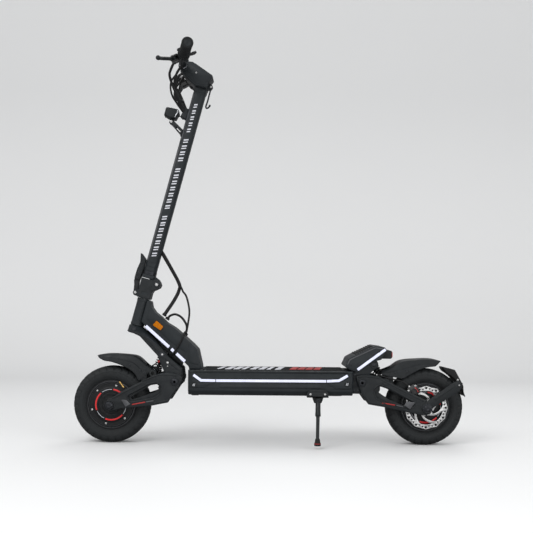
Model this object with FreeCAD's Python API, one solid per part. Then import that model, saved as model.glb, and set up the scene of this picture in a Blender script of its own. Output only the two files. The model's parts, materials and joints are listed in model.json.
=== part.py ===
import FreeCAD, Part
import math, os

# Electric kick scooter: folding stem, twin swingarm suspension, two hub motors.
# Units are millimetres.  +Z is up, the scooter faces -X, its left side is -Y.
# The origin is on the ground, midway between the tyre's front and the mudflap.
os.makedirs("parts", exist_ok=True)
Vec = FreeCAD.Vector

# ------------------------------------------------------- driving dimensions
# Points written as pairs are (x, z) unless a comment says otherwise.
RUN = 0.05                        # radial running clearance
TYRE_R = 124.0
AXLE_X = 507.0                    # half the wheelbase
AXLE_Z = TYRE_R
AXLE_R = 8.0
FRONT_AXLE, REAR_AXLE = (-AXLE_X, AXLE_Z), (AXLE_X, AXLE_Z)

FRONT_PIVOT, REAR_PIVOT = (-299.6, 201.7), (299.5, 203.4)     # swingarm pivots
FRONT_SHOCK_TOP, FRONT_SHOCK_FOOT = (-341.0, 288.0), (-369.0, 228.0)
REAR_SHOCK_TOP, REAR_SHOCK_FOOT = (338.0, 262.0), (374.5, 206.4)
PIVOT_R = 6.0
ARM_INNER, ARM_OUTER = 57.0, 70.0           # faces of a swingarm plate, in |y|

DECK_FRONT, DECK_REAR = -255.4, 268.8
DECK_BOTTOM, DECK_TOP = 163.0, 241.0
DECK_HALF = 98.0

# Stem frame: origin on the stem centre line at the fold, x aft, z up the stem.
STEM_RAKE = 15.0                            # from vertical, degrees
STEM = FreeCAD.Placement(Vec(-400.3, 0, 511.6), FreeCAD.Rotation(Vec(0, 1, 0), STEM_RAKE))
STEER_X = 5.0                               # steering axis in the stem frame
FOLD_PIN, LATCH_PIN = (33.6, 10.3), (-28.0, -32.6)            # in the stem frame

BAR_R = 11.5
BAR_BEND = Vec(-283.0, -90.0, 1221.0)       # left bend of the handlebar
BAR_END = Vec(-246.0, -300.0, 1213.5)       # left end of the handlebar


# ------------------------------------------------------------------- helpers
def corner_arc(before, corner, after, radius, share=1.0):
    """Start, middle and end of the arc that rounds a corner.

    The arc uses up no more than this share of either side.
    """
    back, ahead = before.sub(corner), after.sub(corner)
    back_length, ahead_length = back.Length, ahead.Length
    back.normalize()
    ahead.normalize()
    half_angle = back.getAngle(ahead) / 2
    setback = min(radius / math.tan(half_angle), share * back_length, share * ahead_length)
    radius = setback * math.tan(half_angle)
    bisector = back.add(ahead)
    bisector.normalize()
    centre = corner.add(bisector.multiply(radius / math.sin(half_angle)))
    outward = corner.sub(centre)
    outward.normalize()
    return (corner.add(back.multiply(setback)), centre.add(outward.multiply(radius)),
            corner.add(ahead.multiply(setback)))


def rounded(points, radius):
    """Closed wire through coplanar points, with one corner radius or a list of them."""
    count = len(points)
    radii = radius if isinstance(radius, (list, tuple)) else [radius] * count
    corners = []
    for i in range(count):
        before, corner, after = points[i - 1], points[i], points[(i + 1) % count]
        angle = before.sub(corner).getAngle(after.sub(corner))
        if radii[i] < 0.05 or angle > math.radians(178.5):
            corners.append((corner, None, corner))
        else:
            corners.append(corner_arc(before, corner, after, radii[i], 0.47))
    edges = []
    for i, (start, middle, end) in enumerate(corners):
        if middle is not None:
            edges.append(Part.Arc(start, middle, end).toShape())
        following = corners[(i + 1) % count][0]
        if end.sub(following).Length > 1e-6:
            edges.append(Part.LineSegment(end, following).toShape())
    return Part.Wire(edges)


def prism(points, y0, y1, r=0.0):
    """Outline of (x, z) points, extruded from y0 to y1."""
    wire = rounded([Vec(x, y0, z) for x, z in points], r)
    return Part.Face(wire).extrude(Vec(0, y1 - y0, 0))


def slab(points, half, r=0.0):
    """Outline of (x, z) points, extruded to both sides of the middle plane."""
    return prism(points, -half, half, r)


def prism_z(points, z0, z1, r=0.0):
    """Outline of (x, y) points, extruded from z0 to z1."""
    wire = rounded([Vec(x, y, z0) for x, y in points], r)
    return Part.Face(wire).extrude(Vec(0, 0, z1 - z0))


def prism_x(points, x0, x1, r=0.0):
    """Outline of (y, z) points, extruded from x0 to x1."""
    wire = rounded([Vec(x0, y, z) for y, z in points], r)
    return Part.Face(wire).extrude(Vec(x1 - x0, 0, 0))


def rect(a0, a1, b0, b1):
    return [(a0, b0), (a1, b0), (a1, b1), (a0, b1)]


def octagon(half_x, half_y, chamfer):
    near_x, near_y = half_x - chamfer, half_y - chamfer
    return [(-near_x, -half_y), (near_x, -half_y), (half_x, -near_y), (half_x, near_y),
            (near_x, half_y), (-near_x, half_y), (-half_x, near_y), (-half_x, -near_y)]


def box(x0, x1, y0, y1, z0, z1):
    return Part.makeBox(x1 - x0, y1 - y0, z1 - z0, Vec(x0, y0, z0))


def cyl_y(centre, y0, y1, r):
    return Part.makeCylinder(r, y1 - y0, Vec(centre[0], y0, centre[1]), Vec(0, 1, 0))


def pin_y(centre, half, r):
    return cyl_y(centre, -half, half, r)


def cyl_z(centre, z0, z1, r):
    """Upright cylinder about an (x, y) point."""
    return Part.makeCylinder(r, z1 - z0, Vec(centre[0], centre[1], z0))


def steer_cyl(z0, z1, r):
    """Cylinder on the steering axis, in the stem frame."""
    return cyl_z((STEER_X, 0), z0, z1, r)


def rod(start, end, r):
    axis = end.sub(start)
    return Part.makeCylinder(r, axis.Length, start, axis)


def mirror(shape):
    return shape.mirror(Vec(0, 0, 0), Vec(0, 1, 0))


def pair(shape):
    return [shape, mirror(shape)]


def fuse(first, *rest):
    return first.fuse(list(rest)).removeSplitter()


def cut(shape, *tools):
    return shape.cut(list(tools)) if len(tools) > 1 else shape.cut(tools[0])


def sweep(edges, start, direction, r):
    ring = Part.Wire([Part.makeCircle(r, start, direction)])
    return Part.Wire(edges).makePipeShell([ring], True, False)


def cable(points, r):
    """Round cable along a spline through (x, y, z) points."""
    curve = Part.BSplineCurve()
    curve.interpolate([Vec(*point) for point in points])
    tangent = curve.tangent(curve.FirstParameter)[0]
    return sweep([curve.toShape()], Vec(*points[0]), tangent, r)


def bent_pipe(points, bend_r, r):
    """Round bar along straight runs joined by arcs."""
    edges = []
    here = points[0]
    for before, corner, after in zip(points, points[1:], points[2:]):
        start, middle, end = corner_arc(before, corner, after, bend_r)
        edges.append(Part.LineSegment(here, start).toShape())
        edges.append(Part.Arc(start, middle, end).toShape())
        here = end
    edges.append(Part.LineSegment(here, points[-1]).toShape())
    return sweep(edges, points[0], points[1].sub(points[0]), r)


def band(line, width):
    """Outline of a strip that follows a polyline of (x, z) points, with mitred bends."""
    left, right = [], []
    for i, (x, z) in enumerate(line):
        first, last = max(i - 1, 0), min(i + 1, len(line) - 1)
        if last - first == 1:
            dx, dz = line[last][0] - line[first][0], line[last][1] - line[first][1]
            mitre = 1.0
        else:
            ax, az = x - line[first][0], z - line[first][1]
            bx, bz = line[last][0] - x, line[last][1] - z
            a_length, b_length = math.hypot(ax, az), math.hypot(bx, bz)
            dx, dz = ax / a_length + bx / b_length, az / a_length + bz / b_length
            cosine = (ax * bx + az * bz) / (a_length * b_length)
            mitre = 1.0 / math.sqrt((1 + cosine) / 2)
        reach = width / 2 * mitre / math.hypot(dx, dz)
        left.append((x - dz * reach, z + dx * reach))
        right.append((x + dz * reach, z - dx * reach))
    return left + right[::-1]


def placed(shape, placement):
    shape = shape.copy()
    shape.Placement = placement.multiply(shape.Placement)
    return shape


def stem(shape):
    """Carry a shape drawn in the stem frame to its place."""
    return placed(shape, STEM)


def revolve_y(profile, x):
    """Profile of (y, radius) points turned about the axle line at x."""
    points = [Vec(x, y, AXLE_Z + r) for y, r in profile]
    wire = Part.makePolygon(points + [points[0]])
    return Part.Face(wire).revolve(Vec(x, 0, AXLE_Z), Vec(0, 1, 0), 360)


def around_axle(x, r, degrees):
    """(x, z) point at radius r from an axle, the angle counted from +X towards +Z."""
    angle = math.radians(degrees)
    return x + r * math.cos(angle), AXLE_Z + r * math.sin(angle)


def headed_pin(centre, half, r, head_r, head_t):
    return fuse(pin_y(centre, half, r), cyl_y(centre, -half - head_t, -half, head_r),
                cyl_y(centre, half, half + head_t, head_r))


def swingarm_bolt(pivot):
    """Pivot bolt with a round socket in each head."""
    half, head_t, socket_r, socket_depth = ARM_OUTER + 0.3, 4, 3.2, 3
    end = half + head_t
    bolt = headed_pin(pivot, half, PIVOT_R, 11, head_t)
    return cut(bolt, cyl_y(pivot, -end, -end + socket_depth, socket_r),
               cyl_y(pivot, end - socket_depth, end, socket_r))


def save(name, *shapes):
    solids = [solid for shape in shapes for solid in shape.Solids]
    piece = solids[0] if len(solids) == 1 else Part.makeCompound(solids)
    piece.exportStep("parts/%s.step" % name)


# ====================================================================== deck
LED_GAP = 0.2                     # extra width of the slot a light strip sits in
LID_FRONT, LID_REAR, LID_HALF = -213, 263, 90.8
LID_BOTTOM = 236
LID_CORNER_R = 8
LID_GAP = 0.4
TRAY_FLOOR = 169
DECK_LED = [(-237.7, 227), (-213.2, 209.5), (-172, 209), (184.7, 210), (222.6, 212),
            (250.8, 228.4)]
DECK_LED_W, DECK_LED_T = 9.0, 3
SCREW_R, SCREW_HEAD_R = 2.5, 4.2
SCREW_HEAD_Z = 238.5              # underside of the screw heads

# Hollow shell with a chamfered belly, a ledge for the lid and side light grooves.
shell = prism_x([(-86, DECK_BOTTOM), (86, DECK_BOTTOM), (DECK_HALF, 176), (DECK_HALF, DECK_TOP),
                 (-DECK_HALF, DECK_TOP), (-DECK_HALF, 176)],
                DECK_FRONT, DECK_REAR, [3, 3, 4, 4, 4, 4])
shell = shell.common(
    prism_z(rect(DECK_FRONT, DECK_REAR, -DECK_HALF - 1, DECK_HALF + 1), 150, 250, 16))
lid_pocket = prism_z(rect(LID_FRONT - LID_GAP, LID_REAR + LID_GAP,
                          -LID_HALF - LID_GAP, LID_HALF + LID_GAP),
                     LID_BOTTOM, 250, LID_CORNER_R + LID_GAP)
shell = cut(shell, lid_pocket, prism_z(rect(-203, 253, -79, 79), TRAY_FLOOR, 240, 6))
deck_led = prism(band(DECK_LED, DECK_LED_W), -DECK_HALF, -DECK_HALF + DECK_LED_T)
shell = cut(shell, *pair(prism(band(DECK_LED, DECK_LED_W + LED_GAP),
                               -DECK_HALF - 1, -DECK_HALF + DECK_LED_T)))

# Lid and its screws, in two rows of five.
lid = prism_z(rect(LID_FRONT, LID_REAR, -LID_HALF, LID_HALF), LID_BOTTOM, DECK_TOP, LID_CORNER_R)
screws = []
for x in (-200, -90, 25, 140, 250):
    for y in (-85.2, 85.2):
        screw = fuse(cyl_z((x, y), 227, 239, SCREW_R),
                     cyl_z((x, y), SCREW_HEAD_Z, DECK_TOP, SCREW_HEAD_R))
        screws.append(cut(screw, cyl_z((x, y), 239.4, DECK_TOP, 1.6)))
        hole = fuse(cyl_z((x, y), 226.5, 239, SCREW_R),
                    cyl_z((x, y), SCREW_HEAD_Z, 241.5, SCREW_HEAD_R))
        lid = cut(lid, hole)
        shell = cut(shell, hole)
save("deck_shell", shell)
save("deck_lid", lid)
save("deck_screws", *screws)
save("deck_mat", prism_z(rect(-211, 243, -79, 79), DECK_TOP, 244, 12))
save("battery_and_controllers", prism_z(rect(-198, 80, -76, 76), TRAY_FLOOR, 226, 5),
     *pair(prism_z(rect(92, 245, -74, -4), TRAY_FLOOR, 212, 4)))

# ====================================================================== neck
HEAD_TUBE_R, HEAD_TUBE_BOTTOM, HEAD_TUBE_TOP = 22, -135.0, -45.0
BEARING_R, BEARING_H = 19, 10
STEERER_R, STEERER_TOP = 14, -22
NECK = [(-383.1, 458.6), (-379.7, 438.9), (-368, 422.6), (-351.4, 409.5), (-331.6, 389.7),
        (-305, 373.5), (-281.9, 354), (-245.2, 321.4), (-228.6, 303.5), (-216.8, 252),
        (-216.2, DECK_TOP), (-254.5, DECK_TOP), (-257.5, 250.5), (-276.2, 268.4),
        (-316, 299.5), (-402, 379.5), (-413, 392), (-394, 462)]
NECK_HOLLOW = [(-370, 404), (-345, 391.5), (-300, 361), (-252, 318), (-238, 300), (-227, 235),
               (-247, 235), (-250, 252), (-270, 274), (-310, 306), (-384, 377)]
NECK_LEDS = [[(-397.8, 378.5), (-321, 311.5)], [(-313.5, 305.3), (-304.0, 297.0)],
             [(-296.4, 290.6), (-268.8, 266.0)]]
NECK_LED_W = 9.4
REFLECTOR = [(-362.3, 397.8), (-338.9, 376.8), (-348.8, 363.5), (-376.6, 381.3)]


def neck_wedge(offset):
    """Block that narrows forwards like the neck, its sides moved out by the offset."""
    rear, front = 59.6 + offset, 22.8 + offset
    return prism_z([(-205, -rear), (-460, -front), (-460, front), (-205, rear)], 200, 500)


# Tapered casting from the deck's front up to the head tube.
neck = slab(NECK, 70, 4).common(neck_wedge(0))
neck = cut(neck, slab(NECK_HOLLOW, 70, 4).common(neck_wedge(-6)))
neck = fuse(neck, stem(steer_cyl(HEAD_TUBE_BOTTOM, HEAD_TUBE_TOP, HEAD_TUBE_R)))
bearing_seats = (HEAD_TUBE_TOP - BEARING_H, HEAD_TUBE_BOTTOM)
neck = cut(neck, stem(steer_cyl(-150, -30, 17)),
           *[stem(steer_cyl(z, z + BEARING_H, BEARING_R)) for z in bearing_seats])
neck_leds = []
for line in NECK_LEDS:
    strip = prism(band(line, NECK_LED_W), -80, 0).common(cut(neck_wedge(0.6), neck_wedge(-1.6)))
    strip = cut(strip, stem(steer_cyl(HEAD_TUBE_BOTTOM - 1, HEAD_TUBE_TOP + 1, HEAD_TUBE_R)))
    neck_leds += pair(strip)
    slot = prism(band(line, NECK_LED_W + LED_GAP), -80, 0)
    neck = cut(neck, *pair(slot.common(cut(neck_wedge(8), neck_wedge(-1.6)))))
save("neck_frame", neck)
save("side_reflectors",
     *pair(prism(REFLECTOR, -80, 0, 3).common(cut(neck_wedge(2.2), neck_wedge(0)))))
save("headset_bearings",
     *[stem(cut(steer_cyl(z, z + BEARING_H, BEARING_R),
                steer_cyl(z, z + BEARING_H, STEERER_R + RUN))) for z in bearing_seats])

# =============================================================== rear casting
# Carries the rear swingarm pivot and the rear shock's upper eye.
REAR_BLOCK = [(DECK_REAR, 167), (296.6, 167), (303, 186), (314, 192), (318, 204), (316, 218),
              (330, 236), (350, 252), (352, 262), (348, 275.46), (333.5, 272.4),
              (282.2, 237.2), (DECK_REAR, 237.2)]
REAR_BLOCK_HALF = 55
rear_block = slab(REAR_BLOCK, REAR_BLOCK_HALF, [0, 4, 6, 8, 8, 6, 6, 6, 6, 0, 0, 0, 0])
save("rear_pivot_block", cut(rear_block, box(297, 400, -20, 20, 150, 300),
                             pin_y(REAR_PIVOT, 80, PIVOT_R), pin_y(REAR_SHOCK_TOP, 80, PIVOT_R)))
save("rear_pins", swingarm_bolt(REAR_PIVOT), pin_y(REAR_SHOCK_TOP, REAR_BLOCK_HALF, PIVOT_R))

# Rear footrest with side light strips and the tail light housing on its rear face.
REST_FACE_TOP, REST_FACE_FOOT = (376.5, 307.8), (358.6, 277.7)
FOOTREST = [(243.9, 255.7), (254.8, 280.3), (272.5, 290.3), (339.8, 321.8), (370, 317.6),
            REST_FACE_TOP, REST_FACE_FOOT, (333.5, 272.4), (282.2, 237.2), (268.8, 241.05),
            (257.3, 245.4), (248, 251.6)]
FOOTREST_HALF = 78.0
REST_LED = [(279.3, 242.9), (373.0, 312.2)]
REST_LED_W, REST_LED_T = 9.0, 2.5
LENS_X = 394                      # where the tail light housing ends and its lens begins


def rest_face_x(z):
    """x of the footrest's sloping rear face at height z."""
    slope = (REST_FACE_TOP[1] - REST_FACE_FOOT[1]) / (REST_FACE_TOP[0] - REST_FACE_FOOT[0])
    return REST_FACE_FOOT[0] + (z - REST_FACE_FOOT[1]) / slope


rest_led = prism(band(REST_LED, REST_LED_W), -FOOTREST_HALF,
                 -FOOTREST_HALF + REST_LED_T).common(prism(FOOTREST, -90, 0))
footrest = slab(FOOTREST, FOOTREST_HALF, [2, 5, 5, 5, 5, 0, 0, 0, 0, 0, 2, 2])
footrest = cut(footrest, *pair(prism(band(REST_LED, REST_LED_W + LED_GAP),
                                     -FOOTREST_HALF - 1, -FOOTREST_HALF + REST_LED_T)))
housing = slab([(rest_face_x(306), 306), (LENS_X, 306), (LENS_X, 279.6),
                (rest_face_x(279.6), 279.6)], 44)
save("side_led_strips", *(pair(deck_led) + neck_leds + pair(rest_led)))
save("rear_footrest", fuse(footrest, housing))
save("tail_light_lens", prism_x(rect(-40, 40, 281, 305), LENS_X, LENS_X + 6, 4))

# ================================================================ side stand
STAND_PIVOT = (157.5, 148.0)
STAND_PIN_R = 4
STAND_KNEE = Vec(156.9, -105, 109)
STAND_FOOT_X, STAND_FOOT_Y = 154.6, -130
LEG_INNER_Y = -84.1

# Bracket wrapped round the deck's left edge, with a lug that holds the pin.
bracket = fuse(prism([(122, 158), (190, 158), (190, 172), (182, 181), (130, 181), (122, 172)],
                     -102, -DECK_HALF, 3),
               box(122, 190, -102, -66, 158, DECK_BOTTOM),
               prism([(140, 160), (175, 160), (168, 138), (147, 138)], -84, -77, 5))
bracket = cut(bracket, shell)
save("stand_bracket", fuse(bracket, cyl_y(STAND_PIVOT, -97.5, -77, STAND_PIN_R)))

# Leg that slopes outwards and down from the pin to a flat foot.
leg = fuse(cyl_y(STAND_PIVOT, -97, LEG_INNER_Y, 9.5),
           rod(Vec(STAND_PIVOT[0], -92.5, STAND_PIVOT[1]), STAND_KNEE, 8.0),
           rod(STAND_KNEE, Vec(STAND_FOOT_X, STAND_FOOT_Y, 24), 6.0),
           Part.makeSphere(8.0, STAND_KNEE),
           prism_z(rect(140, 170, -141, -121), 10, 19, 6),
           rod(Vec(STAND_FOOT_X, STAND_FOOT_Y, 30), Vec(STAND_FOOT_X, STAND_FOOT_Y, 15), 7))
save("stand_leg", cut(leg, cyl_y(STAND_PIVOT, -110, -70, STAND_PIN_R + RUN),
                      box(100, 220, LEG_INNER_Y, -40, 100, 200),
                      prism(rect(120, 200, 157.6, 180), -120, -70)))

# ====================================================================== fork
FORK_INNER, FORK_OUTER = 40.0, 55.0         # faces of a fork leg, in |y|
FORK_LEG = [(-452.6, 385.2), (-404.1, 376.0), (-321.6, 281.0), (-277.5, 243.5),
            (-275.0, 219.8), (-277.5, 194.2), (-301.5, 171.5), (-327.9, 193.7),
            (-334.6, 232.1), (-347.4, 262.7), (-357.5, 285.3), (-413.7, 345.4),
            (-433.3, 354.8), (-451.3, 359.8)]
FORK_CROWN = [(-452.6, 385.2), (-404.1, 376.0), (-356, 320.6), (-366, 313), (-413.7, 350),
              (-433.3, 354.8), (-451.3, 359.8)]
CLEAR_FLAT_R = 24                           # flat middle of the crown's top
CLEAR_REACH = 320.0                         # radial length of the slope round it
CLEAR_Z = HEAD_TUBE_BOTTOM - 1

fork_leg = prism(FORK_LEG, -FORK_OUTER, -FORK_INNER, [3, 3, 4, 6, 4, 6, 14, 10, 8, 8, 8, 6, 4, 3])
yoke = fuse(slab(FORK_CROWN, FORK_INNER, 3), *pair(fork_leg))
# The crown falls away from the head tube, so it can turn under the neck.
clear_r = CLEAR_FLAT_R + CLEAR_REACH
clear_profile = [Vec(0, 0, CLEAR_Z), Vec(CLEAR_FLAT_R, 0, CLEAR_Z),
                 Vec(clear_r, 0, CLEAR_Z - 0.50 * CLEAR_REACH), Vec(clear_r, 0, 0), Vec(0, 0, 0)]
clearance = Part.Face(Part.makePolygon(clear_profile + [clear_profile[0]]))
clearance = clearance.revolve(Vec(0, 0, 0), Vec(0, 0, 1), 360)
clearance.translate(Vec(STEER_X, 0, 0))
yoke = cut(yoke, stem(clearance))
yoke = fuse(yoke, stem(steer_cyl(-152, STEERER_TOP, STEERER_R)))
save("fork_yoke", cut(yoke, pin_y(FRONT_PIVOT, 80, PIVOT_R), pin_y(FRONT_SHOCK_TOP, 80, PIVOT_R)))

# ================================================= fold hinge (stem frame)
FOLD_PIN_R, LATCH_PIN_R = 5, 3
BASE = [(-19.5, -44), (26, -44), (25.5, -20.5), (30, -9), (30, 14), (22, 20.5), (-19.5, 20.5)]
FOLD_EAR = [(20, -16), (33, -9), (45, 2), (46.5, 12), (40, 22), (30, 24.5), (20, 20)]
LATCH_LUG = [(-16, -43), (-31, -41.5), (-36, -34), (-33, -25), (-16, -20)]
HINGE_SLOT = [(-2, 30), (-2, 20.6), (20, -0.5), (33.6, -4.2), (60, -4.2), (60, 30)]
LATCH = [(-34.5, -37), (-39, -9.6), (-43.2, 4.1), (-43.7, 19), (-43, 43.3), (-39.2, 68.6),
         (-45, 95.7), (-40.8, 95.2), (-23.2, 80.8), (-22, 48.6), (-23.2, 31.3), (-25.4, 9.2),
         (-22.8, -16.8), (-21.5, -33)]
LATCH_WIDE = [(-43.2, 10), (-43.7, 19), (-43, 43.3), (-39.2, 68.6), (-45, 95.7), (-40.8, 95.2),
              (-23.2, 80.8), (-22, 48.6), (-23.2, 31.3), (-25.2, 10)]

# Base on the steerer: fold ears behind, latch lugs in front.
base = slab(BASE, 22, [4, 4, 4, 4, 4, 2, 2])
base = base.common(prism_z(rect(-26, 40, -22, 22), -50, 30, 9))
base = fuse(base, *(pair(prism(FOLD_EAR, -24, -12, 3)) + pair(prism(LATCH_LUG, -15, -9.2, 3))))
hinge_slot = fuse(slab(HINGE_SLOT, 12.2), pin_y(FOLD_PIN, 12.2, 14.6))
base = cut(base, hinge_slot, pin_y(FOLD_PIN, 40, FOLD_PIN_R), pin_y(LATCH_PIN, 40, LATCH_PIN_R),
           pin_y(LATCH_PIN, 9.2, 7.6), steer_cyl(-46, STEERER_TOP, STEERER_R))
save("hinge_base", stem(base))
save("fork_pins", stem(headed_pin(FOLD_PIN, 24, FOLD_PIN_R, 8, 3)),
     stem(headed_pin(LATCH_PIN, 15, LATCH_PIN_R, 5, 1.5)),
     swingarm_bolt(FRONT_PIVOT), pin_y(FRONT_SHOCK_TOP, 57, PIVOT_R))

# Latch lever, wider above its pivot.
latch = fuse(slab(LATCH, 8.6, 2.5), pin_y(LATCH_PIN, 8.6, 6.9), slab(LATCH_WIDE, 14, 2))
save("latch_lever", stem(cut(latch, pin_y(LATCH_PIN, 20, LATCH_PIN_R + RUN))))

# ======================================================== stem (stem frame)
COLLAR_BOTTOM, COLLAR_TOP = 34, 42
STEM_TOP = 692.0
STEM_SECTION = octagon(20, 19.5, 8)

# Octagonal tube on a collar, with a hinge block and web round the fold pin.
hinge_block = slab([(-20.5, 22), (15, 22), (20.5, 30), (20.5, COLLAR_BOTTOM),
                    (-20.5, COLLAR_BOTTOM)], 20, [2, 2, 2, 0, 0])
web = fuse(slab([(4, 22), (24.4, 2.6), (44, 16), (38, 26), (20.5, 34), (4, 34)], 11.6),
           pin_y(FOLD_PIN, 11.6, 12.5))
hinge_block = cut(fuse(hinge_block, web), pin_y(FOLD_PIN, 30, FOLD_PIN_R + RUN))
collar = prism_z(octagon(20.8, 20.3, 7), COLLAR_BOTTOM, COLLAR_TOP, 2)
stem_tube = cut(prism_z(STEM_SECTION, COLLAR_TOP, STEM_TOP, 2.5),
                prism_z(octagon(16, 15.5, 6.5), COLLAR_TOP, STEM_TOP, 2))
save("stem_tube", stem(fuse(hinge_block, collar, stem_tube)))

# Head: clamps the handlebar, carries the display and the hook's ears.
DISPLAY_EDGE, DISPLAY_REAR = (-44.3, 736), (32, 708.5)      # ends of the display face
DISPLAY_FACE_L = 81.1
DISPLAY_HALF, DISPLAY_T = 29, 7
HOOK_PIN = (30.2, 678.4)
HOOK_PIN_R = 3
STEM_HEAD = [(-78, 728), (-72.7, 732), DISPLAY_EDGE, DISPLAY_REAR, (21.7, 683.9), (20.5, 664),
             (-20.5, 664), (-60.7, 686.2), (-80, 708)]
HOOK_EAR = [(18, 664), (34, 672), (36.5, 680), (32, 686), (18, 690)]
HOOK = [(26.2, 682), (34.2, 682), (35.5, 640), (36, 622), (42.5, 617), (35.9, 608),
        (26, 613.5), (25.5, 640)]


def display_block(depth0, depth1):
    """Block let into the sloping display face, between two depths below it."""
    along_x = (DISPLAY_REAR[0] - DISPLAY_EDGE[0]) / DISPLAY_FACE_L
    along_z = (DISPLAY_REAR[1] - DISPLAY_EDGE[1]) / DISPLAY_FACE_L
    corners = [(7, depth0), (75, depth0), (75, depth1), (7, depth1)]
    return slab([(DISPLAY_EDGE[0] + along_x * run + along_z * depth,
                  DISPLAY_EDGE[1] + along_z * run - along_x * depth)
                 for run, depth in corners], DISPLAY_HALF)


bar_in_stem = STEM.inverse().multVec(Vec(BAR_BEND.x, 0, BAR_BEND.z))
bar_clamp = (bar_in_stem.x, bar_in_stem.z)
head = fuse(slab(STEM_HEAD, 34, [4, 4, 4, 4, 4, 2, 2, 8, 6]), pin_y(bar_clamp, 36, 16.5))
head = fuse(head, *pair(prism(HOOK_EAR, -9, -4.4, 3)))
head = cut(head, pin_y(bar_clamp, 60, BAR_R), prism_z(STEM_SECTION, 600, STEM_TOP, 2.5),
           display_block(-5, DISPLAY_T), pin_y(HOOK_PIN, 20, HOOK_PIN_R),
           box(20.4, 60, -4.4, 4.4, 640, 690))
save("stem_head", stem(fuse(head, pin_y(HOOK_PIN, 9.5, HOOK_PIN_R))))
save("display_unit", stem(display_block(0, DISPLAY_T)))
hook = fuse(slab(HOOK, 4.1, 2.5), pin_y(HOOK_PIN, 4.1, 6.2))
save("fold_hook", stem(cut(hook, pin_y(HOOK_PIN, 20, HOOK_PIN_R + RUN))))

# ================================================================= handlebar
# Straight through the clamp, then swept back to the grips.
right_bend, right_end = [Vec(p.x, -p.y, p.z) for p in (BAR_BEND, BAR_END)]
save("handlebar", bent_pipe([BAR_END, BAR_BEND, right_bend, right_end], 60.0, BAR_R))

# Bar frame for what is clamped on the left bar: origin at the bend,
# x forward and down by the lean, y outboard along the bar, z up.
CONTROL_LEAN = math.radians(22.0)
outboard = BAR_END.sub(BAR_BEND)
BAR_L = outboard.Length
outboard.normalize()
forward = Vec(-math.cos(CONTROL_LEAN), 0, -math.sin(CONTROL_LEAN))
forward = forward.sub(Vec(outboard).multiply(forward.dot(outboard)))
forward.normalize()
upward = forward.cross(outboard)
BAR_FRAME = FreeCAD.Placement(FreeCAD.Matrix(
    forward.x, outboard.x, upward.x, BAR_BEND.x,
    forward.y, outboard.y, upward.y, BAR_BEND.y,
    forward.z, outboard.z, upward.z, BAR_BEND.z,
    0, 0, 0, 1))
BAR_AXIS = (0, 0)


def left_bar(shape):
    return placed(shape, BAR_FRAME)


def right_bar(shape):
    return mirror(left_bar(shape))


def bar_ring(y0, y1, inner_r, outer_r):
    return cut(cyl_y(BAR_AXIS, y0, y1, outer_r), cyl_y(BAR_AXIS, y0, y1, inner_r))


# Grips with an inner flange and a closed outer end.
GRIP_R, GRIP_Y = 17.0, 96
grip = fuse(cyl_y(BAR_AXIS, GRIP_Y, BAR_L, GRIP_R),
            cyl_y(BAR_AXIS, GRIP_Y, GRIP_Y + 6, GRIP_R + 2))
grip = fuse(grip, cyl_y(BAR_AXIS, BAR_L - 1.5, BAR_L + 2, GRIP_R))
grip = cut(grip, cyl_y(BAR_AXIS, 90, BAR_L, BAR_R))
save("handlebar_grips", *pair(left_bar(grip)))

# Brake lever perches with the hydraulic master cylinders.
LEVER_PIVOT = (30.0, 66.0)        # (x, y) in the bar frame
LEVER_PIN_R = 3
LEVER_SLOT = 4.6                  # half height of the slot
pivot_x, pivot_y = LEVER_PIVOT
perch = fuse(bar_ring(56, 72, BAR_R, 16.0), box(8, 40, 52, 78, -9, 9),
             box(14, 36, 16, 60, -7, 13), cyl_y((25, 3), 6, 20, 8))
perch = cut(perch, cyl_y(BAR_AXIS, 0, 100, BAR_R), cyl_y(BAR_AXIS, 74.8, 84.8, 20.5),
            cyl_z(LEVER_PIVOT, -LEVER_SLOT, LEVER_SLOT, 8.8),
            prism_z([(pivot_x - 5, pivot_y - 9), (60, pivot_y - 9), (60, 100),
                     (pivot_x - 8.8, 100), (pivot_x - 8.8, pivot_y)], -LEVER_SLOT, LEVER_SLOT))
perch = fuse(perch, cyl_z(LEVER_PIVOT, -9, 9, LEVER_PIN_R))
save("brake_master_cylinders", *pair(left_bar(perch)))

# Brake levers, ball-ended; the outline is (x, y) in the bar frame.
LEVER = [(30, 58.5), (42, 62), (52, 84), (72, 112), (88, 138), (93, 152), (86, 156), (78, 142),
         (62, 118), (44, 92), (36, 76), (24, 70)]
lever = fuse(prism_z(LEVER, -4, 4, 3), Part.makeSphere(7, Vec(89, 154, 0)),
             cyl_z(LEVER_PIVOT, -4, 4, 7.8))
lever = cut(lever, cyl_z(LEVER_PIVOT, -15, 15, LEVER_PIN_R + RUN))
save("brake_lever_left", left_bar(lever))
save("brake_lever_right", right_bar(lever))

# Thumb throttle on the left, switch pod with two buttons on the right.
BUTTON_R = 3.5
BUTTONS = {"light_button": (79.8, 7.0), "horn_button": (88.6, -4.0)}   # (y, z), bar frame
throttle_housing = fuse(bar_ring(75, 84, BAR_R, 19.5), box(-8, 8, 75, 84, -24, -14))
throttle = fuse(bar_ring(84.3, 94.7, BAR_R + 0.06, 18.0), box(-33, -15, 84.3, 94.7, -13, -6),
                cyl_y((-33, -9.5), 84.3, 94.7, 4.5))
save("throttle_lever", left_bar(throttle))
pod = fuse(bar_ring(75, 94, BAR_R, 19.0), box(-27, -10, 75, 94, -11, 13))
pod = cut(pod, cyl_y(BAR_AXIS, 65, 105, BAR_R))
for name, (y, z) in BUTTONS.items():
    pod = cut(pod, Part.makeCylinder(BUTTON_R + RUN, 8, Vec(-28, y, z), Vec(1, 0, 0)))
    save(name, right_bar(Part.makeCylinder(BUTTON_R, 7, Vec(-29, y, z), Vec(1, 0, 0))))
save("bar_control_housings", left_bar(throttle_housing), right_bar(pod))

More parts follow.
